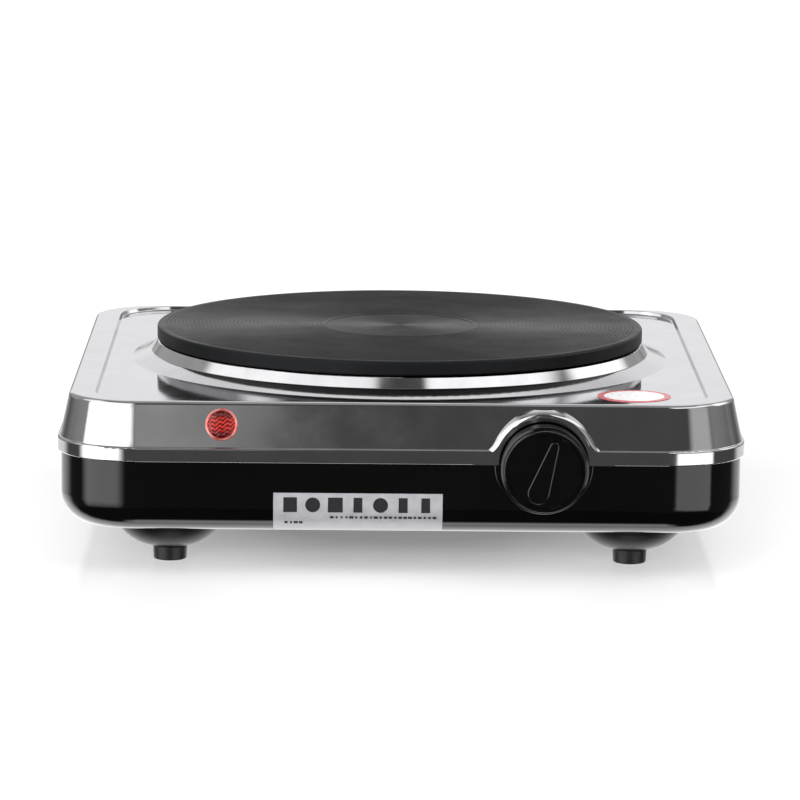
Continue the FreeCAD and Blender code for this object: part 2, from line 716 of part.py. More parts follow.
def terminal_pin_places():
    """Centre of each pin in the element's terminal block."""
    return [(TERMINAL_BLOCK_X + i * TERMINAL_PIN_PITCH, TERMINAL_BLOCK_Y) for i in (-1, 0, 1)]


def ceramic_fill():
    rings = []
    for inner, outer in channel_radii():
        rings.append(tube(inner, outer, Z_PLATE_UNDER, Z_PLATE_UNDER + CHANNEL_DEPTH))
    return Part.makeCompound([ring.cut(coil) for ring, coil in zip(rings, coil_rings())])


def spill_ring():
    """Stainless cone between the plate's rim and the pedestal, with a lip turned in under the rim."""
    z_lip = Z_PEDESTAL + RING_HEIGHT
    path = [
        (RING_FOOT_RADIUS, Z_PEDESTAL, 0),
        (PLATE_RADIUS - 0.3, z_lip, 0.9),
        (PLATE_RADIUS - RING_LIP, z_lip, 0),
    ]
    inside = offset_path([(-r, z, bend) for r, z, bend in path], RING_SHEET)
    inside = [(-r, z, bend) for r, z, bend in inside]
    inside[0] = (path[0][0] - RING_SHEET, Z_PEDESTAL, 0)
    return turned(path + list(reversed(inside)))


def plate_bottom_cap():
    cap = rod(0, 0, Z_CAP, Z_PLATE_UNDER, PLATE_BODY_RADIUS - CAP_MARGIN)
    cutters = [rod(0, 0, Z_CAP - 1, Z_PLATE_UNDER + 1, STUD_RADIUS + HOLE_CLEARANCE)]
    for x, y in terminal_pin_places():
        cutters.append(rod(x, y, Z_CAP - 1, Z_PLATE_UNDER + 1, TERMINAL_PIN_RADIUS + 1.0))
    return cap.cut(cutters)


def centre_stud():
    stud = rod(0, 0, Z_STUD, Z_PLATE_UNDER + STUD_ENGAGEMENT - 0.2, STUD_RADIUS)
    return stud.makeChamfer(0.4, [stud.Edges[0], stud.Edges[2]])


def clamp_bar():
    """Pressed bar across the body: its raised feet bear on the underside of the recess floor."""
    foot_outer = PEDESTAL_RADIUS + 2.0 + BAR_FOOT
    foot_inner = foot_outer - BAR_FOOT
    rise_start = foot_inner - BAR_RISE_RUN
    top = [
        (-foot_outer, Z_RECESS_UNDER, 0),
        (-foot_inner, Z_RECESS_UNDER, 2.0),
        (-rise_start, Z_BAR, 2.0),
        (rise_start, Z_BAR, 2.0),
        (foot_inner, Z_RECESS_UNDER, 2.0),
        (foot_outer, Z_RECESS_UNDER, 0),
    ]
    below = offset_path(top, BAR_SHEET)
    bar = section(top + list(reversed(below))).extrude(FreeCAD.Vector(0, BAR_WIDTH, 0))
    bar.translate(FreeCAD.Vector(0, -BAR_WIDTH / 2, 0))
    return bar.cut(rod(0, 0, Z_BAR - 5, Z_BAR + 5, STUD_RADIUS + HOLE_CLEARANCE))


def clamp_washer():
    z_low = Z_CLAMP_NUT + NUT_HEIGHT
    return tube(STUD_RADIUS + HOLE_CLEARANCE, WASHER_RADIUS, z_low, z_low + WASHER_HEIGHT)


def stud_nut(z_low):
    nut = hexagon(0, 0, z_low, z_low + NUT_HEIGHT, NUT_ACROSS_FLATS)
    return nut.cut(rod(0, 0, z_low - 1, z_low + NUT_HEIGHT + 1, STUD_RADIUS + THREAD_CLEARANCE))


def heat_shield():
    """Bright dish under the plate that keeps the heat off the pan and the wiring."""
    path = [
        (STUD_RADIUS + HOLE_CLEARANCE, Z_SHIELD, 0),
        (SHIELD_RADIUS - 3.0, Z_SHIELD, 3.0),
        (SHIELD_RADIUS, Z_SHIELD + SHIELD_RIM, 0),
    ]
    inner = offset_path([(-r, z, bend) for r, z, bend in path], SHIELD_SHEET)
    inner = [(-r, z, bend) for r, z, bend in inner]
    inner[0] = (path[0][0], inner[0][1], 0)
    dish = turned(path + list(reversed(inner)))
    length, depth, _ = TERMINAL_BLOCK_SIZE
    window = box(
        (TERMINAL_BLOCK_X - length / 2 - 3, TERMINAL_BLOCK_X + length / 2 + 3),
        (TERMINAL_BLOCK_Y - depth / 2 - 3, TERMINAL_BLOCK_Y + depth / 2 + 3),
        (Z_SHIELD - 2, Z_SHIELD + 2))
    return dish.cut(window)


def element_terminal_block():
    length, depth, height = TERMINAL_BLOCK_SIZE
    z_high = Z_CAP - 0.2
    corners = [
        (TERMINAL_BLOCK_X - length / 2, TERMINAL_BLOCK_Y - depth / 2, 3.0),
        (TERMINAL_BLOCK_X + length / 2, TERMINAL_BLOCK_Y - depth / 2, 3.0),
        (TERMINAL_BLOCK_X + length / 2, TERMINAL_BLOCK_Y + depth / 2, 3.0),
        (TERMINAL_BLOCK_X - length / 2, TERMINAL_BLOCK_Y + depth / 2, 3.0),
    ]
    block = flat_face(corners, z_high - height).extrude(FreeCAD.Vector(0, 0, height))
    holes = [rod(x, y, z_high - height - 1, z_high + 1, TERMINAL_PIN_RADIUS) for x, y in terminal_pin_places()]
    return block.cut(holes)


def element_terminal_pins():
    z_low = Z_CAP - 0.2 - TERMINAL_BLOCK_SIZE[2] - TERMINAL_PIN_DROP
    pins = [rod(x, y, z_low, Z_PLATE_UNDER, TERMINAL_PIN_RADIUS) for x, y in terminal_pin_places()]
    return Part.makeCompound(pins)


# ---------------------------------------------------------------- knob and thermostat

def grip_outline(y, shrink):
    """Teardrop on the knob's face, wide below and narrow above, before it is turned to rest."""
    wide = GRIP_WIDE_RADIUS - shrink
    narrow = GRIP_NARROW_RADIUS - shrink
    low = -GRIP_LENGTH / 2 + GRIP_WIDE_RADIUS
    high = GRIP_LENGTH / 2 - GRIP_NARROW_RADIUS
    lean = math.asin((wide - narrow) / (high - low))
    side = (math.cos(lean), math.sin(lean))
    low_right = FreeCAD.Vector(wide * side[0], y, low + wide * side[1])
    high_right = FreeCAD.Vector(narrow * side[0], y, high + narrow * side[1])
    low_left = FreeCAD.Vector(-low_right.x, y, low_right.z)
    high_left = FreeCAD.Vector(-high_right.x, y, high_right.z)
    edges = [
        Part.LineSegment(low_right, high_right).toShape(),
        Part.Arc(high_right, FreeCAD.Vector(0, y, high + narrow), high_left).toShape(),
        Part.LineSegment(high_left, low_left).toShape(),
        Part.Arc(low_left, FreeCAD.Vector(0, y, low - wide), low_right).toShape(),
    ]
    return Part.Face(Part.Wire(edges))


def knob_grip():
    """Raised finger grip of the knob, rounded along its outer edge."""
    grip = grip_outline(Y_GRIP, 0).extrude(FreeCAD.Vector(0, GRIP_HEIGHT + 0.5, 0))
    outer_edges = [edge for edge in grip.Edges if edge.BoundBox.YMax < Y_GRIP + 1e-4]
    grip = grip.makeFillet(0.55, outer_edges)
    grip.rotate(ORIGIN, FreeCAD.Vector(0, 1, 0), GRIP_REST_ANGLE)
    return moved(grip, KNOB_X, 0, KNOB_Z)


def spindle_profile(radius, y_front, y_back, flat_back):
    """Round bar along the knob's axis, with a flat on its top as far back as flat_back."""
    bar = rod_along_y(KNOB_X, KNOB_Z, y_front, y_back, radius)
    if flat_back <= y_front:
        return bar
    flat_height = KNOB_Z + radius - SPINDLE_RADIUS + SPINDLE_FLAT
    waste = box((KNOB_X - 10, KNOB_X + 10), (y_front - 1, flat_back), (flat_height, KNOB_Z + 20))
    return bar.cut(waste)


def control_knob():
    y_back = Y_PAN_FRONT - KNOB_BACK_GAP
    outside = on_knob_axis([
        (0, y_back, 0),
        (KNOB_SKIRT_RADIUS, y_back, 0.25),
        (KNOB_SKIRT_RADIUS, Y_KNOB_FACE + KNOB_SKIRT_SETBACK, 0.35),
        (KNOB_FACE_RADIUS + 0.3, Y_KNOB_FACE + KNOB_SKIRT_SETBACK - 0.3, 0.15),
        (KNOB_FACE_RADIUS, Y_KNOB_FACE, 0.4),
        (KNOB_FACE_RADIUS - 1.3, Y_KNOB_FACE, 0),
        (KNOB_FACE_RADIUS - 1.6, Y_KNOB_FACE + 0.3, 0),
        (0, Y_KNOB_FACE + 0.3, 0),
    ])
    y_crown = Y_KNOB_FACE + 0.3 + KNOB_WALL
    hollow = on_knob_axis([
        (SPINDLE_RADIUS + 2.4, y_back + 1, 0),
        (KNOB_SKIRT_RADIUS - KNOB_WALL, y_back + 1, 0),
        (KNOB_FACE_RADIUS - KNOB_WALL, y_crown, 0.8),
        (SPINDLE_RADIUS + 2.4, y_crown, 0),
    ])
    boss_back = Y_PAN_FRONT - 3.4
    boss_trim = rod_along_y(KNOB_X, KNOB_Z, boss_back, y_back + 1, SPINDLE_RADIUS + 2.5)
    bore = spindle_profile(SPINDLE_RADIUS + THREAD_CLEARANCE, y_crown + 0.4, y_back + 1, boss_back)
    slot = box(
        (KNOB_X - 2.1, KNOB_X + 2.1), (y_crown + 0.4, boss_back),
        (KNOB_Z + SPINDLE_FLAT, KNOB_Z + SPINDLE_FLAT + 1.0))
    return outside.fuse(knob_grip()).cut([hollow, boss_trim, bore, slot]).removeSplitter()


def knob_spring_clip():
    """Leaf spring between the knob's boss and the flat on the spindle."""
    y_front = Y_KNOB_FACE + 0.3 + KNOB_WALL + 0.8
    y_back = Y_PAN_FRONT - 3.8
    z_low = KNOB_Z + SPINDLE_FLAT + 0.15
    return box((KNOB_X - 1.8, KNOB_X + 1.8), (y_front, y_back), (z_low, z_low + 0.4))


def knob_spindle():
    y_front = Y_KNOB_FACE + 0.3 + KNOB_WALL + 0.6
    y_back = Y_ADJUSTER + ADJUSTER_LENGTH - 1.5
    flat_back = Y_PAN_FRONT - 3.0
    return spindle_profile(SPINDLE_RADIUS, y_front, y_back, flat_back)


def spindle_bush():
    y_flange = Y_PAN_INSIDE + FRAME_SHEET
    body = on_knob_axis([
        (SPINDLE_RADIUS + SPINDLE_CLEARANCE, Y_PAN_FRONT - 2.9, 0),
        (BUSH_RADIUS, Y_PAN_FRONT - 2.9, 0.3),
        (BUSH_RADIUS, y_flange, 0),
        (BUSH_RADIUS + 1.6, y_flange, 0),
        (BUSH_RADIUS + 1.6, y_flange + 2.2, 0),
        (SPINDLE_RADIUS + SPINDLE_CLEARANCE, y_flange + 2.2, 0),
    ])
    return body


def bush_nut():
    """Flat hexagon nut on the bush, inside the knob."""
    nut = laid_back(hexagon(0, 0, 0, 2.0, 12.0))
    nut = moved(nut, KNOB_X, Y_PAN_FRONT - 2.0, KNOB_Z)
    return nut.cut(rod_along_y(KNOB_X, KNOB_Z, Y_PAN_FRONT - 4, Y_PAN_FRONT + 2, BUSH_RADIUS + THREAD_CLEARANCE))


def thermostat_frame():
    """Steel frame behind the pan's front wall: front plate, two arms and a bridge with a keyway."""
    x_low = KNOB_X - FRAME_WIDTH / 2
    x_high = KNOB_X + FRAME_WIDTH / 2
    z_low = Z_STACK - STACK_RADIUS
    z_high = KNOB_Z + 9.0
    plate = box((x_low, x_high), (Y_PAN_INSIDE, Y_PAN_INSIDE + FRAME_SHEET), (z_low, z_high))
    half_arm = ADJUSTER_RADIUS + ADJUSTER_KEY_HEIGHT + 1.6
    arm_z = (KNOB_Z - half_arm, KNOB_Z + half_arm)
    arms = []
    for x in (x_low, x_high - FRAME_SHEET):
        arms.append(box((x, x + FRAME_SHEET), (Y_PAN_INSIDE, Y_PAN_INSIDE + FRAME_LENGTH), arm_z))
    y_bridge = Y_ADJUSTER + 1.5
    bridge = box((x_low, x_high), (y_bridge, y_bridge + FRAME_SHEET), (arm_z[0] + 3.4, arm_z[1]))
    frame = plate.fuse(arms + [bridge])
    cutters = [
        rod_along_y(KNOB_X, KNOB_Z, Y_PAN_INSIDE - 1, Y_PAN_INSIDE + 3, BUSH_RADIUS + THREAD_CLEARANCE),
        rod_along_y(KNOB_X, KNOB_Z, Y_ADJUSTER, Y_ADJUSTER + 5, ADJUSTER_RADIUS + ADJUSTER_CLEARANCE),
        adjuster_key(ADJUSTER_CLEARANCE),
        rod_along_y(KNOB_X, Z_STACK, Y_PAN_INSIDE - 1, Y_PAN_INSIDE + 3, 1.6),
    ]
    return frame.cut(cutters).removeSplitter()


def adjuster_key(clearance):
    """Rib on top of the adjuster that stops it turning, or its keyway when grown by a clearance."""
    half = ADJUSTER_KEY_WIDTH / 2 + clearance
    z_high = KNOB_Z + ADJUSTER_RADIUS + ADJUSTER_KEY_HEIGHT + clearance
    y_range = (Y_ADJUSTER + 0.4, Y_ADJUSTER + ADJUSTER_LENGTH - 0.4)
    return box((KNOB_X - half, KNOB_X + half), y_range, (KNOB_Z + SPINDLE_RADIUS + 0.6, z_high))


def adjuster_nut():
    """Screw nut that the spindle drives along the axis, with a ceramic-tipped nose."""
    y_back = Y_ADJUSTER + ADJUSTER_LENGTH
    nut = on_knob_axis([
        (SPINDLE_RADIUS + SPINDLE_CLEARANCE, Y_ADJUSTER, 0),
        (ADJUSTER_RADIUS, Y_ADJUSTER, 0.3),
        (ADJUSTER_RADIUS, y_back, 0.3),
        (1.8, y_back, 0),
        (1.2, y_back + ADJUSTER_TIP, 0.4),
        (0, y_back + ADJUSTER_TIP, 0),
        (0, y_back - 1.0, 0),
        (SPINDLE_RADIUS + SPINDLE_CLEARANCE, y_back - 1.0, 0),
    ])
    return nut.fuse(adjuster_key(0)).removeSplitter()


def blade_positions():
    """Front face of each spring blade in the stack."""
    return [Y_CONTACT_BLADE + i * (BLADE_SHEET + BLADE_GAP) for i in range(3)]


def spring_blade(index, z_high, tab_side):
    """Upright strip in the stack, with a terminal tab to one side of its foot."""
    y = blade_positions()[index]
    half = BLADE_WIDTH / 2
    strip = box((KNOB_X - half, KNOB_X + half), (y, y + BLADE_SHEET), (Z_STACK - half, z_high))
    if tab_side:
        reach = sorted((KNOB_X + tab_side * half, KNOB_X + tab_side * (FRAME_WIDTH / 2 + 2.0)))
        tab = box((reach[0], reach[1]), (y, y + BLADE_SHEET), (Z_STACK - half, Z_STACK + half))
        strip = strip.fuse(tab).removeSplitter()
    hole = rod_along_y(KNOB_X, Z_STACK, y - 1, y + 2, 1.6)
    return strip.cut(hole)


def ceramic_stack():
    """White insulating beads that hold the blades apart."""
    beads = []
    y = Y_PAN_INSIDE + FRAME_SHEET
    for blade in blade_positions():
        bead = rod_along_y(KNOB_X, Z_STACK, y, blade, STACK_RADIUS)
        beads.append(bead.cut(rod_along_y(KNOB_X, Z_STACK, y - 1, blade + 1, 1.6)))
        y = blade + BLADE_SHEET
    end = rod_along_y(KNOB_X, Z_STACK, y, y + 3.0, STACK_RADIUS)
    beads.append(end.cut(rod_along_y(KNOB_X, Z_STACK, y - 1, y + 4, 1.6)))
    return Part.makeCompound(beads)


def stack_rivet():
    y_back = blade_positions()[-1] + BLADE_SHEET + 3.0
    y_front = Y_PAN_INSIDE + 0.1
    shank = rod_along_y(KNOB_X, Z_STACK, y_front, y_back + 0.8, 1.5)
    head = rod_along_y(KNOB_X, Z_STACK, y_back, y_back + 0.8, 2.6)
    return shank.fuse(head).removeSplitter()


def contact_points():
    """Silver contacts riveted to the two contact blades, held open by a small gap."""
    first, second, _ = blade_positions()
    z = KNOB_Z + 4.5
    gap = 0.6
    length = (second - first - BLADE_SHEET - gap) / 2
    moving = rod_along_y(KNOB_X, z, first + BLADE_SHEET, first + BLADE_SHEET + length, 1.6)
    fixed = rod_along_y(KNOB_X, z, second - length, second, 1.6)
    return Part.makeCompound([moving, fixed])


# ---------------------------------------------------------------- pilot lamp

def lamp_lens():
    """Red lens with a rim and a low dome outside and a hollow body inside."""
    lens = laid_back(turned([
        (0, -LENS_RIM - LENS_DOME, 0),
        (LENS_RADIUS - 2.0, -LENS_RIM - LENS_DOME, 2.4),
        (LENS_RADIUS - 1.0, -LENS_RIM, 0.3),
        (LENS_RADIUS, -LENS_RIM, 0.3),
        (LENS_RADIUS, 0, 0),
        (LENS_BODY_RADIUS, 0, 0),
        (LENS_BODY_RADIUS, LENS_BODY_LENGTH, 0),
        (LENS_BODY_RADIUS - 1.0, LENS_BODY_LENGTH, 0),
        (LENS_BODY_RADIUS - 1.0, 0.5, 0.6),
        (0, 0.5, 0),
    ]))
    return on_slope(lens, LAMP_X, LAMP_HEIGHT_ON_SLOPE)


def lamp_retainer():
    """Push-on ring that grips the lens body behind the sheet."""
    ring = laid_back(turned([
        (LENS_BODY_RADIUS, HOUSING_SHEET + 0.1, 0),
        (LENS_BODY_RADIUS + 2.8, HOUSING_SHEET + 0.1, 0.3),
        (LENS_BODY_RADIUS + 2.8, HOUSING_SHEET + 0.9, 0.3),
        (LENS_BODY_RADIUS + 1.0, HOUSING_SHEET + 0.9, 0),
        (LENS_BODY_RADIUS + 0.6, HOUSING_SHEET + 2.6, 0),
        (LENS_BODY_RADIUS, HOUSING_SHEET + 2.6, 0),
    ]))
    return on_slope(ring, LAMP_X, LAMP_HEIGHT_ON_SLOPE)


def neon_lamp():
    """Glass neon tube inside the lens body."""
    tube_end = 1.4 + NEON_LENGTH
    glass = laid_back(turned([
        (0, 1.4, 0),
        (NEON_RADIUS, 1.4, NEON_RADIUS * 0.9),
        (NEON_RADIUS, tube_end, 0.4),
        (0, tube_end, 0),
    ]))
    return on_slope(glass, LAMP_X, LAMP_HEIGHT_ON_SLOPE)


def lamp_point(across, back):
    """Point behind the lamp, across the axis and back along it, in body coordinates."""
    lean = math.radians(SLOPE_ANGLE)
    y, z = slope_point(LAMP_HEIGHT_ON_SLOPE)
    return LAMP_X + across, y + back * math.cos(lean), z - back * math.sin(lean)


def resistor_front():
    """Front end of the series resistor, beside and behind the lamp."""
    x, y, z = lamp_point(-8.0, NEON_LENGTH + 20.0)
    return x, y, z - 6.0


def lamp_resistor():
    """Series resistor lying in one lead of the lamp."""
    body = laid_back(turned([
        (0, 0, 0),
        (1.7, 0, 0.5),
        (1.7, RESISTOR_LENGTH, 0.5),
        (0, RESISTOR_LENGTH, 0),
    ]))
    return moved(body, *resistor_front())


# ---------------------------------------------------------------- feet, posts and fasteners

def rubber_foot(x, y):
    """Push-in foot: pad under the dome, neck through its hole and a head above the sheet."""
    z_sheet = FOOT_HEIGHT + PAN_SHEET
    foot = turned([
        (0, 0, 0),
        (FOOT_RADIUS - 0.3, 0, 0.5),
        (FOOT_RADIUS, FOOT_HEIGHT, 0.4),
        (FOOT_STEM_RADIUS, FOOT_HEIGHT, 0),
        (FOOT_STEM_RADIUS, z_sheet, 0),
        (FOOT_HEAD_RADIUS, z_sheet, 0.3),
        (FOOT_STEM_RADIUS, z_sheet + 3.4, 0.5),
        (0, z_sheet + 3.4, 0),
    ])
    return moved(foot, x, y, 0)


def tie_posts():
    """Hexagonal posts that join the recess floor to the pan's floor."""
    posts = []
    for x, y in post_places():
        post = hexagon(x, y, Z_PAN_FLOOR, Z_RECESS_UNDER, POST_ACROSS_FLATS)
        depth = SCREW_LENGTH + 1.0
        posts.append(post.cut(rod(x, y, Z_PAN_FLOOR - 1, Z_PAN_FLOOR + depth, SCREW_RADIUS + THREAD_CLEARANCE)))
    return Part.makeCompound(posts)


def machine_screw(x, y, z_seat, length):
    """Pan-head screw put in from below, with a cross recess."""
    screw = turned([
        (0, -SCREW_HEAD_HEIGHT, 0),
        (SCREW_HEAD_RADIUS, -SCREW_HEAD_HEIGHT, 1.2),
        (SCREW_HEAD_RADIUS, 0, 0),
        (SCREW_RADIUS, 0, 0),
        (SCREW_RADIUS, length, 0.4),
        (0, length, 0),
    ])
    cross = [
        box((-1.8, 1.8), (-0.35, 0.35), (-SCREW_HEAD_HEIGHT - 1, -SCREW_HEAD_HEIGHT + 1.0)),
        box((-0.35, 0.35), (-1.8, 1.8), (-SCREW_HEAD_HEIGHT - 1, -SCREW_HEAD_HEIGHT + 1.0)),
    ]
    return moved(screw.cut(cross), x, y, z_seat)


def pan_screws():
    length = SCREW_LENGTH + PAN_SHEET
    return Part.makeCompound([machine_screw(x, y, Z_PAN, length) for x, y in post_places()])


# ---------------------------------------------------------------- mains inlet and terminals

def cord_inlet_bush():
    """Threaded plastic gland through the rear wall, with the hole for a supply cord."""
    outer = INLET_BORE_RADIUS + INLET_WALL
    bush = laid_back(turned([
        (INLET_BORE_RADIUS, Y_PAN_BACK - PAN_SHEET - INLET_TAIL, 0),
        (outer, Y_PAN_BACK - PAN_SHEET - INLET_TAIL, 0.4),
        (outer, Y_PAN_BACK, 0),
        (INLET_FLANGE_RADIUS, Y_PAN_BACK, 0),
        (INLET_FLANGE_RADIUS, Y_PAN_BACK + 1.8, 0.6),
        (outer + 0.8, Y_PAN_BACK + 1.8, 0),
        (outer, Y_PAN_BACK + INLET_PROTRUSION, 0.8),
        (INLET_BORE_RADIUS, Y_PAN_BACK + INLET_PROTRUSION, 0),
    ]))
    return moved(bush, INLET_X, 0, INLET_Z)


def inlet_nut():
    outer = INLET_BORE_RADIUS + INLET_WALL
    nut = laid_back(hexagon(0, 0, 0, 3.0, INLET_NUT_ACROSS_FLATS, 30))
    nut = moved(nut, INLET_X, Y_PAN_BACK - PAN_SHEET - 3.0, INLET_Z)
    hole = rod_along_y(INLET_X, INLET_Z, Y_PAN_BACK - 8, Y_PAN_BACK, outer + THREAD_CLEARANCE)
    return nut.cut(hole)


def pole_places():
    """Centre of each pole of the mains terminal block."""
    return [INLET_X + i * BLOCK_POLE_PITCH for i in (-1, 0, 1)]


def mains_terminal_block():
    length, depth, height = BLOCK_SIZE
    block = box(
        (INLET_X - length / 2, INLET_X + length / 2), (Y_BLOCK - depth / 2, Y_BLOCK + depth / 2),
        (Z_PAN_FLOOR, Z_PAN_FLOOR + height))
    cutters = []
    for x in pole_places():
        cutters.append(rod_along_y(x, Z_PAN_FLOOR + 5.0, Y_BLOCK - depth, Y_BLOCK + depth, 2.2))
        for side in (-1, 1):
            cutters.append(rod(x, Y_BLOCK + side * 4.0, Z_PAN_FLOOR + 5.0, Z_PAN_FLOOR + height + 1, 1.6))
    return block.cut(cutters)


def terminal_screws():
    """Two clamping screws at each pole."""
    screws = []
    z_high = Z_PAN_FLOOR + BLOCK_SIZE[2] - 0.6
    for x in pole_places():
        for side in (-1, 1):
            y = Y_BLOCK + side * 4.0
            slot = box((x - 2, x + 2), (y - 0.25, y + 0.25), (z_high - 0.7, z_high + 1))
            screws.append(rod(x, y, Z_PAN_FLOOR + 7.4, z_high, 1.5).cut(slot))
    return Part.makeCompound(screws)


def earth_tag():
    """Ring tag that bonds the pan to the protective conductor."""
    y_low = Y_BLOCK - 3.5
    tag = box((EARTH_X - 3.5, EARTH_X + 9.0), (y_low, y_low + 7.0), (Z_PAN_FLOOR, Z_PAN_FLOOR + 0.8))
    return tag.cut(rod(EARTH_X, Y_BLOCK, Z_PAN, Z_PAN_FLOOR + 3, SCREW_RADIUS + 0.1))


def earth_screw():
    return machine_screw(EARTH_X, Y_BLOCK, Z_PAN, PAN_SHEET + 5.0)


def earth_nut():
    z_low = Z_PAN_FLOOR + 0.8
    nut = hexagon(EARTH_X, Y_BLOCK, z_low, z_low + 2.4, 7.0)
    return nut.cut(rod(EARTH_X, Y_BLOCK, z_low - 1, z_low + 4, SCREW_RADIUS + THREAD_CLEARANCE))


# ---------------------------------------------------------------- wiring

def blade_tab(index, side, rise):
    """Point on the back of a blade's terminal tab where a wire is welded, at a rise from its middle."""
    x = KNOB_X + side * (FRAME_WIDTH / 2 + 0.2)
    return x, blade_positions()[index] + BLADE_SHEET, Z_STACK + rise


def behind(point, back, rise=0):
    """Point straight behind another one."""
    return point[0], point[1] + back, point[2] + rise


def wires():
    """Route of each insulated wire, in body coordinates."""
    z_pole = Z_PAN_FLOOR + 5.0
    y_pole = Y_BLOCK - BLOCK_SIZE[1] / 2
    left_pole, middle_pole, right_pole = [(x, y_pole, z_pole) for x in pole_places()]
    z_pin = Z_CAP - 0.2 - TERMINAL_BLOCK_SIZE[2] - TERMINAL_PIN_DROP
    left_pin, middle_pin, right_pin = [(x, y, z_pin) for x, y in terminal_pin_places()]
    live_tab = blade_tab(0, 1, 0)
    switched_tab = blade_tab(1, -1, 1.6)
    lamp_tab = blade_tab(1, -1, -1.6)
    lamp_left = lamp_point(-1.2, NEON_LENGTH + 1.6)
    lamp_right = lamp_point(1.6, NEON_LENGTH + 1.6)
    resistor = resistor_front()
    resistor_back = behind(resistor, RESISTOR_LENGTH)
    z_low = Z_PAN_FLOOR + 10
    z_middle = Z_PAN_FLOOR + 15
    z_high = Z_SHIELD - WIRE_SHIELD_GAP
    return {
        "wire_live": [
            right_pole,
            behind(right_pole, -22),
            (right_pole[0] + 10, 0, z_pole + 5),
            behind(live_tab, 34),
            live_tab,
        ],
        "wire_switched": [
            switched_tab,
            behind(switched_tab, 26),
            (5, -24, z_middle + 1),
            (right_pin[0], right_pin[1] - 16, z_middle + 3),
            behind(right_pin, 0, -8),
            right_pin,
        ],
        "wire_neutral": [
            middle_pole,
            behind(middle_pole, -20),
            (14, 48, z_middle - 2),
            (middle_pin[0] + 12, middle_pin[1] + 8, z_middle),
            behind(middle_pin, 0, -8),
            middle_pin,
        ],
        "wire_earth": [
            left_pole,
            behind(left_pole, -12),
            (left_pole[0] - 9, left_pole[1] - 16, z_pole),
            (EARTH_X + 14, Y_BLOCK - 4, Z_PAN_FLOOR + 2.4),
            (EARTH_X + 9.0, Y_BLOCK, Z_PAN_FLOOR + 2.1),
        ],
        "lamp_lead_front": [
            lamp_left,
            behind(lamp_left, 7, -1.5),
            behind(resistor, -7),
            resistor,
        ],
        "lamp_lead_neutral": [
            lamp_right,
            behind(lamp_right, 12, -4),
            (lamp_right[0] + 3, lamp_right[1] + 46, z_high),
            (left_pin[0] - 6, left_pin[1] - 36, z_high - 2),
            behind(left_pin, 0, -9),
            left_pin,
        ],
        "lamp_lead_switched": [
            resistor_back,
            behind(resistor_back, 10),
            (resistor[0] + 6, resistor_back[1] + 22, z_middle),
            (resistor[0] + 50, resistor_back[1] + 28, z_low),
            behind(lamp_tab, 20),
            lamp_tab,
        ],
    }


# ---------------------------------------------------------------- labels

def rating_label():
    """Thin label over the pan's front wall and its lower bend."""
    film = pan_skin(LABEL_THICKNESS).cut(pan_skin(0))
    window = box(
        (LABEL_X - LABEL_WIDTH / 2, LABEL_X + LABEL_WIDTH / 2), (Y_FRONT - 5, Y_FRONT + 20),
        (Z_PAN + LABEL_BOTTOM_RISE, Z_FLANGE - LABEL_TOP_DROP))
    return film.common(window)


def round_sticker():
    y = Y_FRONT + STICKER_FRONT_INSET
    return rod(STICKER_X, y, Z_RECESS, Z_RECESS + LABEL_THICKNESS, STICKER_RADIUS)


# ---------------------------------------------------------------- all pieces

def pieces():
    """Every separate piece of the hotplate by name, about the middle of the body."""
    made = {
        "upper_housing": upper_housing(),
        "lower_pan": lower_pan(),
        "cast_iron_plate": cast_iron_plate(),
        "spill_ring": spill_ring(),
        "ceramic_fill": ceramic_fill(),
        "heating_coils": Part.makeCompound(coil_rings()),
        "plate_bottom_cap": plate_bottom_cap(),
        "centre_stud": centre_stud(),
        "clamp_bar": clamp_bar(),
        "clamp_washer": clamp_washer(),
        "clamp_nut": stud_nut(Z_CLAMP_NUT),
        "heat_shield": heat_shield(),
        "shield_nut": stud_nut(Z_SHIELD - NUT_HEIGHT),
        "element_terminal_block": element_terminal_block(),
        "element_terminal_pins": element_terminal_pins(),
        "control_knob": control_knob(),
        "knob_spring_clip": knob_spring_clip(),
        "knob_spindle": knob_spindle(),
        "spindle_bush": spindle_bush(),
        "bush_nut": bush_nut(),
        "thermostat_frame": thermostat_frame(),
        "adjuster_nut": adjuster_nut(),
        "moving_contact_blade": spring_blade(0, KNOB_Z + 7.0, 1),
        "fixed_contact_blade": spring_blade(1, KNOB_Z + 7.0, -1),
        "bimetal_blade": spring_blade(2, KNOB_Z + 9.0, 0),
        "contact_points": contact_points(),
        "ceramic_stack": ceramic_stack(),
        "stack_rivet": stack_rivet(),
        "lamp_lens": lamp_lens(),
        "lamp_retainer": lamp_retainer(),
        "neon_lamp": neon_lamp(),
        "lamp_resistor": lamp_resistor(),
        "tie_posts": tie_posts(),
        "pan_screws": pan_screws(),
        "cord_inlet_bush": cord_inlet_bush(),
        "inlet_nut": inlet_nut(),
        "mains_terminal_block": mains_terminal_block(),
        "terminal_screws": terminal_screws(),
        "earth_tag": earth_tag(),
        "earth_screw": earth_screw(),
        "earth_nut": earth_nut(),
        "rating_label": rating_label(),
        "round_sticker": round_sticker(),
    }
    for name, (x, y) in foot_places().items():
        made["foot_" + name] = rubber_foot(x, y)
    for name, points in wires().items():
        made[name] = insulated_wire(points)
    return made


os.makedirs("parts", exist_ok=True)
for node, shape in pieces().items():
    moved(shape, 0, BODY_SHIFT_Y, 0).exportStep("parts/" + node + ".step")
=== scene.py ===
"""Finishes, printed films, pilot lens and studio for a single electric hotplate."""
import math

import bmesh
import bpy
from mathutils import Matrix, Vector


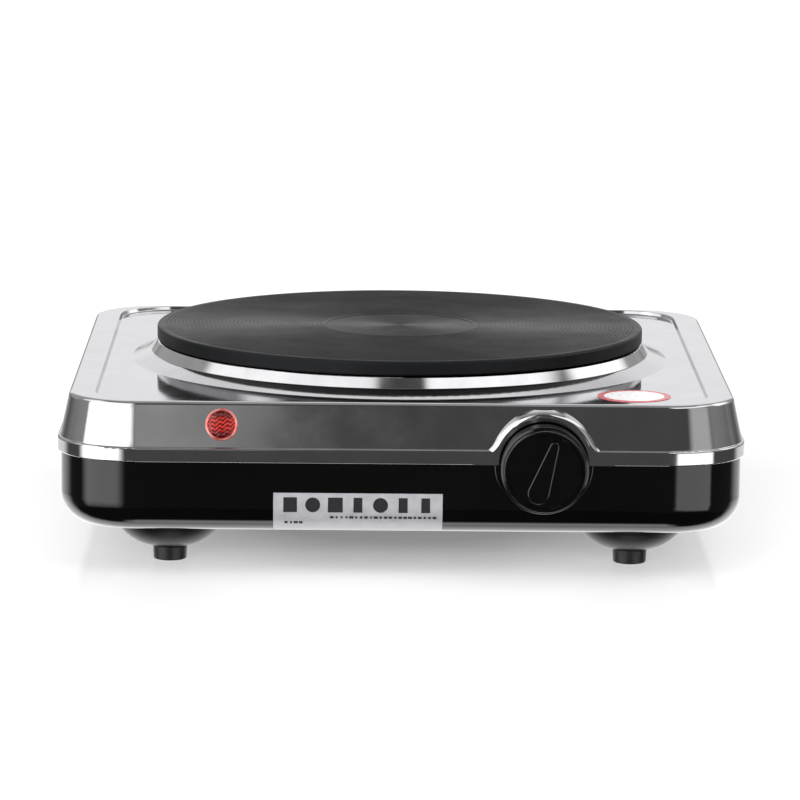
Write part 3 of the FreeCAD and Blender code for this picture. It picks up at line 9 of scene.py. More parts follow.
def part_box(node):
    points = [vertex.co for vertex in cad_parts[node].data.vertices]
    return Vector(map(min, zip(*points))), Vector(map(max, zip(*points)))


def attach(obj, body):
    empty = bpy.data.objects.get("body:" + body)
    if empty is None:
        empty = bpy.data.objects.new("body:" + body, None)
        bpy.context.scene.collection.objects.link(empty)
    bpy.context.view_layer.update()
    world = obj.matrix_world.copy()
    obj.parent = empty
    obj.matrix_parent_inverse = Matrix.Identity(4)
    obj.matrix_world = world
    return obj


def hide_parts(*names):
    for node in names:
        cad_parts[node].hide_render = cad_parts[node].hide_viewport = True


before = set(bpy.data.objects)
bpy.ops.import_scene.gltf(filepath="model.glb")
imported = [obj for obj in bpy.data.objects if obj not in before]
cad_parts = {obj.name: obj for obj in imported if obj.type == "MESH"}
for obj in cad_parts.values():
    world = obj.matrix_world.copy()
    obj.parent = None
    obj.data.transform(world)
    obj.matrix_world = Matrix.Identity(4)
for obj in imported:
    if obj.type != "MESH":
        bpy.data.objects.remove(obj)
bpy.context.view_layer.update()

bl_info = {
    "name": "Electric Hotplate Finishes",
    "version": (1, 0, 0),
    "blender": (4, 5, 0),
    "location": "View3D > Sidebar > Hotplate",
    "description": "Gives a packed hotplate its steel, enamel, iron and plastic finishes, and a studio",
    "category": "Object",
}

MM = 0.001


# ---------------------------------------------------------------- shader helpers

def srgb(hex_code):
    """Linear colour with alpha 1 from an sRGB hex value."""
    levels = [int(hex_code[i:i + 2], 16) / 255 for i in (0, 2, 4)]
    linear = [v / 12.92 if v <= 0.04045 else ((v + 0.055) / 1.055) ** 2.4 for v in levels]
    return (*linear, 1.0)


def add(tree, kind, inputs=None, **settings):
    """Adds a node with its properties, and its inputs as values or as the sockets that feed them."""
    node = tree.nodes.new(kind)
    for name, value in settings.items():
        setattr(node, name, value)
    for name, value in (inputs or {}).items():
        if isinstance(value, bpy.types.NodeSocket):
            tree.links.new(value, node.inputs[name])
        else:
            node.inputs[name].default_value = value
    return node


def new_material(name):
    """Empty node material with its output and Principled shader."""
    material = bpy.data.materials.new(name)
    material.use_nodes = True
    tree = material.node_tree
    tree.nodes.clear()
    shader = add(tree, "ShaderNodeBsdfPrincipled")
    add(tree, "ShaderNodeOutputMaterial", {"Surface": shader.outputs["BSDF"]})
    return material, tree, shader


def set_inputs(shader, **values):
    """Sets constants on the shader's own sockets, with underscores for the spaces in their names."""
    for name, value in values.items():
        shader.inputs[name.replace("_", " ")].default_value = value


def noise(tree, vector, feature_mm, detail=3.0, roughness=0.5):
    """Noise whose features are feature_mm across on object coordinates in metres."""
    return add(tree, "ShaderNodeTexNoise", {
        "Vector": vector,
        "Scale": 1.0 / (feature_mm * MM),
        "Detail": detail,
        "Roughness": roughness,
    }).outputs["Fac"]


def spread(tree, value, low, high, source=(0.3, 0.7)):
    """Remaps a pattern's usual range onto low to high."""
    return add(tree, "ShaderNodeMapRange", {
        "Value": value,
        "From Min": source[0],
        "From Max": source[1],
        "To Min": low,
        "To Max": high,
    }).outputs["Result"]


def tint(tree, factor, low_hex, high_hex):
    """Colour between two finishes by a pattern."""
    ramp = add(tree, "ShaderNodeValToRGB", {"Fac": factor})
    ramp.color_ramp.elements[0].color = srgb(low_hex)
    ramp.color_ramp.elements[1].color = srgb(high_hex)
    return ramp.outputs["Color"]


def relief(tree, height, depth_mm, under=None):
    """Bump of a pattern with a real depth, over an earlier bump if one is given."""
    inputs = {"Height": height, "Distance": depth_mm * MM, "Strength": 1.0}
    if under is not None:
        inputs["Normal"] = under
    return add(tree, "ShaderNodeBump", inputs).outputs["Normal"]


def link(tree, shader, **sockets):
    """Feeds the shader's sockets, with underscores for the spaces in their names."""
    for name, socket in sockets.items():
        tree.links.new(socket, shader.inputs[name.replace("_", " ")])


def object_point(tree, centre=(0, 0, 0)):
    """Object coordinates counted from a centre in metres."""
    coordinates = add(tree, "ShaderNodeTexCoord").outputs["Object"]
    shift = [-value for value in centre]
    return add(tree, "ShaderNodeMapping", {"Vector": coordinates, "Location": shift}).outputs["Vector"]


def polar(tree, point):
    """Radius about Z in metres, and height."""
    parts = add(tree, "ShaderNodeSeparateXYZ", {"Vector": point})
    flat = add(tree, "ShaderNodeCombineXYZ", {"X": parts.outputs["X"], "Y": parts.outputs["Y"]})
    radius = add(tree, "ShaderNodeVectorMath", {0: flat.outputs["Vector"]}, operation="LENGTH")
    return radius.outputs["Value"], parts.outputs["Z"]


def own_attribute(tree, name):
    """Value that a piece carries at its own points."""
    return add(tree, "ShaderNodeAttribute", attribute_name=name, attribute_type="GEOMETRY").outputs["Fac"]


def body_centre():
    """Middle of the housing in plan, which is also the plate's centre."""
    low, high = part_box("upper_housing")
    return (low.x + high.x) / 2, (low.y + high.y) / 2, 0


# ---------------------------------------------------------------- materials

def polished_stainless_sheet():
    """Stainless sheet, pressed then polished: a near mirror with slow waves and faint hairlines."""
    material, tree, shader = new_material("polished_stainless_sheet")
    point = object_point(tree)
    waves = noise(tree, point, 38.0, 1.0)
    haze = noise(tree, point, 14.0, 4.0, 0.6)
    stretched = add(tree, "ShaderNodeMapping", {"Vector": point, "Scale": (0.06, 1.0, 1.0)})
    hairlines = noise(tree, stretched.outputs["Vector"], 0.9, 2.0)
    set_inputs(shader, Metallic=1.0, Specular_Tint=srgb("F4F4F6"))
    link(
        tree, shader,
        Base_Color=tint(tree, spread(tree, haze, 0.0, 1.0), "C2C2C4", "CDCDCE"),
        Roughness=spread(tree, haze, 0.055, 0.10),
        Normal=relief(tree, hairlines, 0.0009, relief(tree, waves, 0.16)),
    )
    return material


def bright_rolled_stainless():
    """Thin stainless strip, spun to a cone: bright, with fine turning lines round the axis."""
    material, tree, shader = new_material("bright_rolled_stainless")
    point = object_point(tree, body_centre())
    radius, height = polar(tree, point)
    lines = add(tree, "ShaderNodeCombineXYZ", {"X": radius, "Y": height}).outputs["Vector"]
    turned = noise(tree, lines, 0.5, 2.0)
    haze = noise(tree, point, 12.0, 3.0)
    set_inputs(shader, Metallic=1.0)
    link(
        tree, shader,
        Base_Color=tint(tree, spread(tree, haze, 0.0, 1.0), "C4C4C6", "D2D2D3"),
        Roughness=spread(tree, haze, 0.07, 0.13),
        Normal=relief(tree, turned, 0.0012),
    )
    return material


def gloss_black_enamel():
    """Black stove enamel: deep gloss with a trace of orange peel, thinner and satin on the foot bowls."""
    material, tree, shader = new_material("gloss_black_enamel")
    point = object_point(tree)
    peel = noise(tree, point, 2.4, 2.0)
    film = noise(tree, point, 30.0, 3.0)
    dust = noise(tree, point, 5.0, 5.0, 0.65)
    height = add(tree, "ShaderNodeSeparateXYZ", {"Vector": point}).outputs["Z"]
    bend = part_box("rating_label")[0].z
    fading = (bend - 1.4 * MM, bend)
    satin = spread(tree, height, 0.30, 0.0, fading)
    gloss = spread(tree, dust, 0.04, 0.09)
    roughness = add(tree, "ShaderNodeMath", {0: gloss, 1: satin}, operation="ADD")
    set_inputs(shader, IOR=1.52)
    link(
        tree, shader,
        Base_Color=tint(tree, spread(tree, film, 0.0, 1.0), "010101", "030304"),
        Roughness=roughness.outputs["Value"],
        Specular_IOR_Level=spread(tree, height, 0.16, 0.5, fading),
        Normal=relief(tree, peel, 0.0022),
    )
    return material


def blackened_cast_iron():
    """Grey iron, turned on a lathe then heat-blackened: grained, dull, catching light along the grooves."""
    material, tree, shader = new_material("blackened_cast_iron")
    point = object_point(tree, body_centre())
    radius, height = polar(tree, point)
    grain = noise(tree, point, 0.8, 4.0, 0.6)
    patina = noise(tree, point, 22.0, 4.0, 0.6)
    lines = add(tree, "ShaderNodeCombineXYZ", {"X": radius}).outputs["Vector"]
    turned = noise(tree, lines, 0.6, 2.0)
    mixed = add(tree, "ShaderNodeMath", {0: patina, 1: turned}, operation="MULTIPLY").outputs["Value"]
    round_axis = add(tree, "ShaderNodeTangent", direction_type="RADIAL", axis="Z")
    set_inputs(shader, Metallic=0.2, Anisotropic=0.6, Anisotropic_Rotation=0.25, Specular_IOR_Level=0.15)
    link(
        tree, shader,
        Base_Color=tint(tree, spread(tree, mixed, 0.0, 1.0, (0.12, 0.4)), "0D0E0F", "1B1C1E"),
        Roughness=spread(tree, patina, 0.44, 0.56),
        Normal=relief(tree, grain, 0.02, relief(tree, turned, 0.02)),
        Tangent=round_axis.outputs["Tangent"],
    )
    return material


def moulded_gloss_abs():
    """Black ABS from a polished mould: even gloss, slightly soft, with faint handling marks."""
    material, tree, shader = new_material("moulded_gloss_abs")
    point = object_point(tree)
    marks = noise(tree, point, 6.0, 5.0, 0.65)
    sink = noise(tree, point, 9.0, 1.0)
    set_inputs(shader, IOR=1.54)
    link(
        tree, shader,
        Base_Color=tint(tree, spread(tree, marks, 0.0, 1.0), "010101", "030303"),
        Roughness=spread(tree, marks, 0.05, 0.10),
        Normal=relief(tree, sink, 0.006),
    )
    return material


def red_polycarbonate():
    """Clear red polycarbonate lens: saturated, wet-looking, with a little light scattered inside it, and
    painted light in its colour: bright crests and a pale rim palest at its sides, over painted shade in the
    grooves.
    """
    material, tree, shader = new_material("red_polycarbonate")
    point = object_point(tree)
    cloud = noise(tree, point, 3.0, 2.0)
    # Painted light: the crests across the lit middle band are bright red, while the grooves and the window's
    # top and bottom are dark red as painted shade.
    window = tint(tree, own_attribute(tree, "crest_painted_light"), "4A0303", "C02A22")
    # Pale pink rim; the edge mark paints it palest at the left and right sides as painted light.
    rim = tint(tree, spread(tree, cloud, 0.0, 1.0), "B04A42", "DC938A")
    edge = own_attribute(tree, "edge")
    colour = add(tree, "ShaderNodeMix", {"Factor": edge, "A": window, "B": rim}, data_type="RGBA")
    set_inputs(shader, IOR=1.585, Subsurface_Weight=0.15, Subsurface_Radius=(1.0, 0.1, 0.08))
    set_inputs(shader, Subsurface_Scale=1.0 * MM)
    link(
        tree, shader,
        Base_Color=colour.outputs["Result"],
        Roughness=spread(tree, cloud, 0.05, 0.12),
    )
    return material


def moulded_rubber():
    """Black rubber, moulded: matt and fine-grained, greyer where it has been handled."""
    material, tree, shader = new_material("moulded_rubber")
    point = object_point(tree)
    grain = noise(tree, point, 0.5, 3.0)
    bloom = noise(tree, point, 5.0, 4.0)
    set_inputs(shader, IOR=1.5)
    link(
        tree, shader,
        Base_Color=tint(tree, spread(tree, bloom, 0.0, 1.0), "080808", "121213"),
        Roughness=spread(tree, bloom, 0.38, 0.52),
        Normal=relief(tree, grain, 0.02),
    )
    return material


def silver_label_film():
    """Metallised polyester film: pale grey, satin, slightly mottled by the glue under it."""
    material, tree, shader = new_material("silver_label_film")
    point = object_point(tree)
    mottle = noise(tree, point, 4.0, 4.0)
    set_inputs(shader, Metallic=0.2, IOR=1.5)
    link(
        tree, shader,
        Base_Color=tint(tree, spread(tree, mottle, 0.0, 1.0), "96969A", "A2A2A5"),
        Roughness=spread(tree, mottle, 0.28, 0.38),
        Normal=relief(tree, mottle, 0.01),
    )
    return material


def printed_ink():
    """Black ink on film: matt, a little uneven in its cover."""
    material, tree, shader = new_material("printed_ink")
    point = object_point(tree)
    cover = noise(tree, point, 0.6, 3.0)
    link(
        tree, shader,
        Base_Color=tint(tree, spread(tree, cover, 0.0, 1.0), "0A0A0B", "1A1B1D"),
        Roughness=spread(tree, cover, 0.45, 0.6),
    )
    return material


def ringed_sticker_film(ring_width):
    """White gloss paper sticker with a plain red ring printed round its edge."""
    material, tree, shader = new_material("ringed_sticker_film")
    low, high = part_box("round_sticker")
    centre = ((low.x + high.x) / 2, (low.y + high.y) / 2, 0)
    point = object_point(tree, centre)
    radius, _ = polar(tree, point)
    outer = (high.x - low.x) / 2
    paper = noise(tree, point, 1.5, 3.0)
    feather = 0.15 * MM
    inside = add(tree, "ShaderNodeMapRange", {
        "Value": radius,
        "From Min": outer - ring_width - feather,
        "From Max": outer - ring_width + feather,
    }, interpolation_type="SMOOTHSTEP").outputs["Result"]
    white = tint(tree, spread(tree, paper, 0.0, 1.0), "F1EFEE", "FAF8F7")
    red = tint(tree, spread(tree, paper, 0.0, 1.0), "B93A45", "D0606A")
    mixed = add(tree, "ShaderNodeMix", {"Factor": inside, "A": white, "B": red}, data_type="RGBA")
    set_inputs(shader, IOR=1.48)
    link(tree, shader, Base_Color=mixed.outputs["Result"], Roughness=spread(tree, paper, 0.22, 0.34))
    return material


def zinc_plated_steel():
    """Zinc-plated steel: cool grey metal with a soft crystalline cloud."""
    material, tree, shader = new_material("zinc_plated_steel")
    point = object_point(tree)
    cells = add(tree, "ShaderNodeTexVoronoi", {"Vector": point, "Scale": 1.0 / (2.5 * MM)})
    cloud = noise(tree, point, 3.0, 4.0)
    set_inputs(shader, Metallic=1.0)
    link(
        tree, shader,
        Base_Color=tint(
            tree, spread(tree, cells.outputs["Distance"], 0.0, 1.0, (0.0, 0.8)), "A6A9AD", "BCBEC1"),
        Roughness=spread(tree, cloud, 0.24, 0.40),
        Normal=relief(tree, cloud, 0.006),
    )
    return material


def worked_metal(name, dull_hex, bright_hex, roughness, grain_mm):
    """Bare metal as it left the tool: brass turnings, rolled bronze, silver rivets or oxidised wire."""
    material, tree, shader = new_material(name)
    point = object_point(tree)
    tool_marks = noise(tree, point, grain_mm, 3.0)
    tarnish = noise(tree, point, grain_mm * 9, 3.0)
    set_inputs(shader, Metallic=1.0)
    link(
        tree, shader,
        Base_Color=tint(tree, spread(tree, tarnish, 0.0, 1.0), dull_hex, bright_hex),
        Roughness=spread(tree, tarnish, roughness, roughness + 0.12),
        Normal=relief(tree, tool_marks, 0.004),
    )
    return material


def fired_ceramic():
    """Unglazed steatite: off-white, chalky and finely pitted."""
    material, tree, shader = new_material("fired_ceramic")
    point = object_point(tree)
    pits = noise(tree, point, 0.4, 4.0)
    body = noise(tree, point, 6.0, 3.0)
    link(
        tree, shader,
        Base_Color=tint(tree, spread(tree, body, 0.0, 1.0), "DCD8CC", "EBE7DD"),
        Roughness=spread(tree, pits, 0.65, 0.85),
        Normal=relief(tree, pits, 0.03),
    )
    return material


def clear_glass_tube():
    """Drawn soda glass: clear, with faint streaks along the tube."""
    material, tree, shader = new_material("clear_glass_tube")
    point = object_point(tree)
    streaks = noise(tree, point, 2.0, 2.0)
    set_inputs(shader, IOR=1.5, Transmission_Weight=0.9)
    link(
        tree, shader,
        Base_Color=tint(tree, spread(tree, streaks, 0.0, 1.0), "F0F4F4", "FFFFFF"),
        Roughness=spread(tree, streaks, 0.01, 0.04),
    )
    return material


def moulded_plastic(name, low_hex, high_hex, roughness, grain_mm):
    """Nylon, PVC or lacquer from a textured tool: even colour under a fine grain."""
    material, tree, shader = new_material(name)
    point = object_point(tree)
    grain = noise(tree, point, grain_mm, 3.0)
    shade = noise(tree, point, 7.0, 3.0)
    set_inputs(shader, IOR=1.5)
    link(
        tree, shader,
        Base_Color=tint(tree, spread(tree, shade, 0.0, 1.0), low_hex, high_hex),
        Roughness=spread(tree, grain, roughness, roughness + 0.15),
        Normal=relief(tree, grain, 0.012),
    )
    return material


def cover_nodes(material, *names):
    """Gives CAD nodes their finish through their material slots."""
    for name in names:
        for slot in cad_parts[name].material_slots:
            slot.material = material


# ---------------------------------------------------------------- sizes and colours to set

class HOTPLATE_label_settings(bpy.types.PropertyGroup):
    """Plain print on the rating label."""
    block_count: bpy.props.IntProperty(
        name="Blocks", description="Plain blocks in the label's upper row", default=7, min=1, max=20)
    block_height: bpy.props.FloatProperty(
        name="Block height", description="Height of the blocks", default=5.4 * MM, unit="LENGTH")
    block_share: bpy.props.FloatProperty(
        name="Block share", description="Widest block as a share of the distance between blocks",
        default=0.72, min=0, max=1)
    bar_count: bpy.props.IntProperty(
        name="Bars", description="Short bars in the fine row", default=22, min=1, max=60)
    bar_height: bpy.props.FloatProperty(
        name="Bar height", description="Height of the fine bars", default=0.8 * MM, unit="LENGTH")
    bar_share: bpy.props.FloatProperty(
        name="Bar share", description="Widest bar as a share of the distance between bars", default=0.86,
        min=0, max=1)
    bar_indent: bpy.props.FloatProperty(
        name="Bar indent", description="Share of the label's width before the fine row", default=0.32,
        min=0, max=1)
    ink_thickness: bpy.props.FloatProperty(
        name="Ink thickness", description="How far the print stands off the film", default=0.03 * MM,
        unit="LENGTH")
    margin: bpy.props.FloatProperty(
        name="Margin", description="Clear edge round the print", default=2.0 * MM, unit="LENGTH")


class HOTPLATE_lens_settings(bpy.types.PropertyGroup):
    """Pilot lens."""
    radius: bpy.props.FloatProperty(
        name="Radius", description="Outside radius of the lens", default=5.8 * MM, unit="LENGTH")
    window_radius: bpy.props.FloatProperty(
        name="Window radius", description="Radius of the ridged window", default=4.85 * MM, unit="LENGTH")
    rim_height: bpy.props.FloatProperty(
        name="Rim height", description="Height of the rim off the slope", default=1.1 * MM, unit="LENGTH")
    dome_height: bpy.props.FloatProperty(
        name="Dome height", description="Height of the window's middle over the rim", default=0.9 * MM,
        unit="LENGTH")
    ridge_pitch: bpy.props.FloatProperty(
        name="Ridge pitch", description="Distance between the ridges", default=1.55 * MM, unit="LENGTH")
    ridge_depth: bpy.props.FloatProperty(
        name="Ridge depth", description="Depth of the grooves between the ridges", default=0.55 * MM,
        unit="LENGTH")
    lean: bpy.props.FloatProperty(
        name="Lean", description="How far the housing's front slope leans back",
        default=math.radians(12.3), subtype="ANGLE")


class HOTPLATE_sticker_settings(bpy.types.PropertyGroup):
    """Round sticker."""
    ring_width: bpy.props.FloatProperty(
        name="Ring width", description="Width of the red ring", default=2.4 * MM, unit="LENGTH")


class HOTPLATE_gland_settings(bpy.types.PropertyGroup):
    """Grip ribs on the cord inlet."""
    rib_count: bpy.props.IntProperty(
        name="Ribs", description="Grip ribs round the inlet's collar", default=24, min=3, max=60)
    rib_width: bpy.props.FloatProperty(
        name="Rib width", description="Width of one rib", default=0.5 * MM, unit="LENGTH")
    rib_length: bpy.props.FloatProperty(
        name="Rib length", description="Length of one rib along the inlet", default=1.2 * MM,
        unit="LENGTH")


class HOTPLATE_stage_settings(bpy.types.PropertyGroup):
    """Camera, floor and light."""
    lens: bpy.props.FloatProperty(
        name="Lens", description="Focal length on a 36 mm sensor, in millimetres", default=219.06)
    distance: bpy.props.FloatProperty(
        name="Distance", description="From the aim point to the camera", default=1.865, unit="LENGTH")
    elevation: bpy.props.FloatProperty(
        name="Elevation", description="Camera's height angle", default=math.radians(9.417), subtype="ANGLE")
    azimuth: bpy.props.FloatProperty(
        name="Azimuth", description="Camera's angle from the front, to the right",
        default=math.radians(-0.585), subtype="ANGLE")
    roll: bpy.props.FloatProperty(
        name="Roll", description="Camera's turn about its own axis", default=math.radians(0.59),
        subtype="ANGLE")
    aim_right: bpy.props.FloatProperty(
        name="Aim right", description="Aim point to the right of the body's middle", default=0.36 * MM,
        unit="LENGTH")
    aim_height: bpy.props.FloatProperty(
        name="Aim height", description="Aim point above the worktop", default=44.7 * MM, unit="LENGTH")
    floor_colour: bpy.props.FloatVectorProperty(
        name="Floor", description="Colour of the floor", default=srgb("D6D6D6"), size=4, subtype="COLOR",
        min=0, max=1)
    # Strength of the floor's painted light, which lifts the shadow round the hotplate.
    floor_glow: bpy.props.FloatProperty(
        name="Floor glow", description="Light that the floor gives by itself near the hotplate",
        default=0.27, min=0)
    floor_gloss: bpy.props.FloatProperty(
        name="Floor gloss", description="Share of the floor's light that it mirrors", default=0.15,
        min=0, max=1)
    floor_size: bpy.props.FloatProperty(
        name="Floor size", description="Side of the floor", default=16.0, unit="LENGTH")


# ---------------------------------------------------------------- geometry helpers

def new_tree(name, inputs):
    """Geometry Nodes tree with a geometry output and one named input for each (name, socket type)."""
    tree = bpy.data.node_groups.new(name, "GeometryNodeTree")
    tree.interface.new_socket("Geometry", in_out="OUTPUT", socket_type="NodeSocketGeometry")
    for label, kind in inputs:
        tree.interface.new_socket(label, in_out="INPUT", socket_type=kind)
    return tree, add(tree, "NodeGroupInput").outputs


def finish_tree(tree, geometry, material):
    """Ends a tree in plain geometry with its material."""
    real = add(tree, "GeometryNodeRealizeInstances", {"Geometry": geometry})
    covered = add(tree, "GeometryNodeSetMaterial", {
        "Geometry": real.outputs["Geometry"], "Material": material})
    add(tree, "NodeGroupOutput", {"Geometry": covered.outputs["Geometry"]})


def grown_piece(name, tree, values):
    """Plain mesh object made by a Geometry Nodes tree with the given input values."""
    seed_mesh = bpy.data.meshes.new(name + "_seed")
    source = bpy.data.objects.new(name + "_source", seed_mesh)
    bpy.context.scene.collection.objects.link(source)
    modifier = source.modifiers.new("grow", "NODES")
    modifier.node_group = tree
    for item in tree.interface.items_tree:
        if item.in_out == "INPUT" and item.name in values:
            modifier[item.identifier] = values[item.name]
    bpy.context.view_layer.update()
    evaluated = source.evaluated_get(bpy.context.evaluated_depsgraph_get())
    mesh = bpy.data.meshes.new_from_object(evaluated)
    mesh.name = name
    source.modifiers.clear()
    bpy.data.objects.remove(source)
    return link_mesh(name, mesh)


def link_mesh(name, mesh):
    """Object at the origin that shows a mesh."""
    piece = bpy.data.objects.new(name, mesh)
    bpy.context.scene.collection.objects.link(piece)
    return piece


def mesh_from(name, build, material):
    """Object whose mesh is made by a function that fills a bmesh."""
    work = bmesh.new()
    build(work)
    bmesh.ops.recalc_face_normals(work, faces=work.faces)
    mesh = bpy.data.meshes.new(name)
    work.to_mesh(mesh)
    work.free()
    mesh.materials.append(material)
    for polygon in mesh.polygons:
        polygon.use_smooth = True
    return link_mesh(name, mesh)


# ---------------------------------------------------------------- pieces

class HOTPLATE_OT_finishes(bpy.types.Operator):
    """Give every part of the hotplate its finish"""
    bl_idname = "hotplate.finishes"
    bl_label = "Finishes"

    def execute(self, context):
        cover_nodes(polished_stainless_sheet(), "upper_housing")
        cover_nodes(bright_rolled_stainless(), "spill_ring")
        cover_nodes(gloss_black_enamel(), "lower_pan")
        cover_nodes(blackened_cast_iron(), "cast_iron_plate")
        cover_nodes(moulded_gloss_abs(), "control_knob")
        cover_nodes(red_polycarbonate(), "lamp_lens")
        feet = [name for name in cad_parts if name.startswith("foot_")]
        cover_nodes(moulded_rubber(), *feet)
        cover_nodes(silver_label_film(), "rating_label")
        cover_nodes(ringed_sticker_film(context.scene.hotplate_sticker.ring_width), "round_sticker")
        cover_nodes(
            zinc_plated_steel(), "centre_stud", "clamp_bar", "clamp_washer", "clamp_nut", "shield_nut",
            "element_terminal_pins", "thermostat_frame", "knob_spindle", "lamp_retainer", "tie_posts",
            "pan_screws", "earth_screw", "earth_nut")
        cover_nodes(
            worked_metal("turned_brass", "9C7F45", "C9A861", 0.22, 0.4), "spindle_bush", "bush_nut",
            "stack_rivet", "terminal_screws", "earth_tag", "adjuster_nut")
        cover_nodes(
            worked_metal("rolled_bronze", "8E5F3C", "B8814F", 0.25, 0.5), "moving_contact_blade",
            "fixed_contact_blade", "bimetal_blade", "knob_spring_clip")
        cover_nodes(worked_metal("contact_silver", "C9C9C4", "E2E2DE", 0.2, 0.3), "contact_points")
        cover_nodes(
            worked_metal("oxidised_resistance_wire", "3B3633", "575049", 0.5, 0.6), "heating_coils")
        cover_nodes(
            worked_metal("aluminised_sheet", "A9ABAD", "C4C6C8", 0.28, 0.7), "heat_shield",
            "plate_bottom_cap")
        cover_nodes(fired_ceramic(), "ceramic_fill", "ceramic_stack", "element_terminal_block")
        cover_nodes(clear_glass_tube(), "neon_lamp")
        cover_nodes(moulded_plastic("resistor_lacquer", "8D6F4C", "A88860", 0.35, 0.3), "lamp_resistor")
        cover_nodes(
            moulded_plastic("black_nylon", "101011", "1B1B1C", 0.42, 0.5), "cord_inlet_bush", "inlet_nut")
        cover_nodes(
            moulded_plastic("white_nylon", "DCDCD8", "ECECE8", 0.38, 0.5), "mains_terminal_block")
        cover_nodes(
            moulded_plastic("brown_pvc", "4A2B18", "5E3820", 0.4, 0.4), "wire_live", "wire_switched")
        cover_nodes(
            moulded_plastic("blue_pvc", "1D4F93", "2A63AE", 0.4, 0.4), "wire_neutral", "lamp_lead_neutral")
        cover_nodes(moulded_plastic("green_pvc", "3F7A22", "5C9A30", 0.4, 0.4), "wire_earth")
        cover_nodes(
            moulded_plastic("white_sleeving", "D8D5CA", "EAE7DD", 0.5, 0.4), "lamp_lead_front",
            "lamp_lead_switched")
        return {"FINISHED"}


def print_row_tree():
    """Row of flat blocks along X, each with its own width, with a disc in place of some of them."""
    tree, given = new_tree("print_row", [
        ("Count", "NodeSocketInt"), ("Start", "NodeSocketVector"), ("Pitch", "NodeSocketFloat"),
        ("Width", "NodeSocketFloat"), ("Height", "NodeSocketFloat"), ("Thickness", "NodeSocketFloat"),
        ("Narrowest", "NodeSocketFloat"), ("Seed", "NodeSocketInt"), ("Disc every", "NodeSocketInt"),
        ("Ink", "NodeSocketMaterial"),
    ])
    step = add(tree, "ShaderNodeCombineXYZ", {"X": given["Pitch"]}).outputs["Vector"]
    line = add(tree, "GeometryNodeMeshLine", {
        "Count": given["Count"], "Start Location": given["Start"], "Offset": step})
    size = add(tree, "ShaderNodeCombineXYZ", {
        "X": given["Width"], "Y": given["Thickness"], "Z": given["Height"]}).outputs["Vector"]
    block = add(tree, "GeometryNodeMeshCube", {"Size": size})
    half_height = add(tree, "ShaderNodeMath", {0: given["Height"], 1: 0.5}, operation="MULTIPLY")
    upright = add(tree, "GeometryNodeMeshCylinder", {
        "Vertices": 32, "Radius": half_height.outputs["Value"], "Depth": given["Thickness"]})
    disc = add(tree, "GeometryNodeTransform", {
        "Geometry": upright.outputs["Mesh"], "Rotation": (math.radians(90), 0, 0)})
    share = add(tree, "FunctionNodeRandomValue", {
        "Min": given["Narrowest"], "Max": 1.0, "Seed": given["Seed"]}, data_type="FLOAT")
    factor = [socket for socket in share.outputs if socket.enabled][0]
    scale = add(tree, "ShaderNodeCombineXYZ", {"X": factor, "Y": 1.0, "Z": 1.0}).outputs["Vector"]
    index = add(tree, "GeometryNodeInputIndex").outputs["Index"]
    turn = add(tree, "ShaderNodeMath", {0: index, 1: given["Disc every"]}, operation="MODULO")
    is_disc = add(tree, "FunctionNodeCompare", {
        "A": turn.outputs["Value"], "B": 1.0, "Epsilon": 0.1}, operation="EQUAL")
    is_block = add(tree, "FunctionNodeBooleanMath", {0: is_disc.outputs["Result"]}, operation="NOT")
    blocks = add(tree, "GeometryNodeInstanceOnPoints", {
        "Points": line.outputs["Mesh"], "Selection": is_block.outputs["Boolean"],
        "Instance": block.outputs["Mesh"], "Scale": scale})
    discs = add(tree, "GeometryNodeInstanceOnPoints", {
        "Points": line.outputs["Mesh"], "Selection": is_disc.outputs["Result"],
        "Instance": disc.outputs["Geometry"]})
    both = add(tree, "GeometryNodeJoinGeometry")
    for part in (blocks, discs):
        tree.links.new(part.outputs["Instances"], both.inputs["Geometry"])
    finish_tree(tree, both.outputs["Geometry"], given["Ink"])
    return tree


class HOTPLATE_OT_label_print(bpy.types.Operator):
    """Print plain blocks and bars on the rating label"""
    bl_idname = "hotplate.label_print"
    bl_label = "Label print"

    def execute(self, context):
        sizes = context.scene.hotplate_label
        low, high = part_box("rating_label")
        tree = print_row_tree()
        ink = printed_ink()
        left = low.x + sizes.margin
        width = high.x - low.x - 2 * sizes.margin
        top = high.z - sizes.margin * 0.8
        y = low.y - sizes.ink_thickness / 2
        block_pitch = width / sizes.block_count
        bar_left = left + width * sizes.bar_indent
        bar_pitch = (left + width - bar_left) / sizes.bar_count
        fine_z = top - sizes.block_height - 2.2 * sizes.bar_height
        lower_z = fine_z - 2.4 * sizes.bar_height
        no_discs = 1000
        rows = [
            ("label_blocks", sizes.block_count, left + block_pitch / 2, top - sizes.block_height / 2,
             block_pitch, block_pitch * sizes.block_share, sizes.block_height, 0.45, 4, 3),
            ("label_fine_bars", sizes.bar_count, bar_left + bar_pitch / 2, fine_z, bar_pitch,
             bar_pitch * sizes.bar_share, sizes.bar_height, 0.35, 7, no_discs),
            ("label_lower_bars", 4, left + 1.5 * bar_pitch, lower_z, bar_pitch,
             bar_pitch * sizes.bar_share, sizes.bar_height, 0.5, 9, no_discs),
        ]
        for name, count, x, z, pitch, block_width, height, narrowest, seed, disc_every in rows:
            piece = grown_piece(name, tree, {
                "Count": count, "Start": (x, y, z), "Pitch": pitch, "Width": block_width, "Height": height,
                "Thickness": sizes.ink_thickness, "Narrowest": narrowest, "Seed": seed,
                "Disc every": disc_every, "Ink": ink,
            })
            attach(piece, "base")
        return {"FINISHED"}


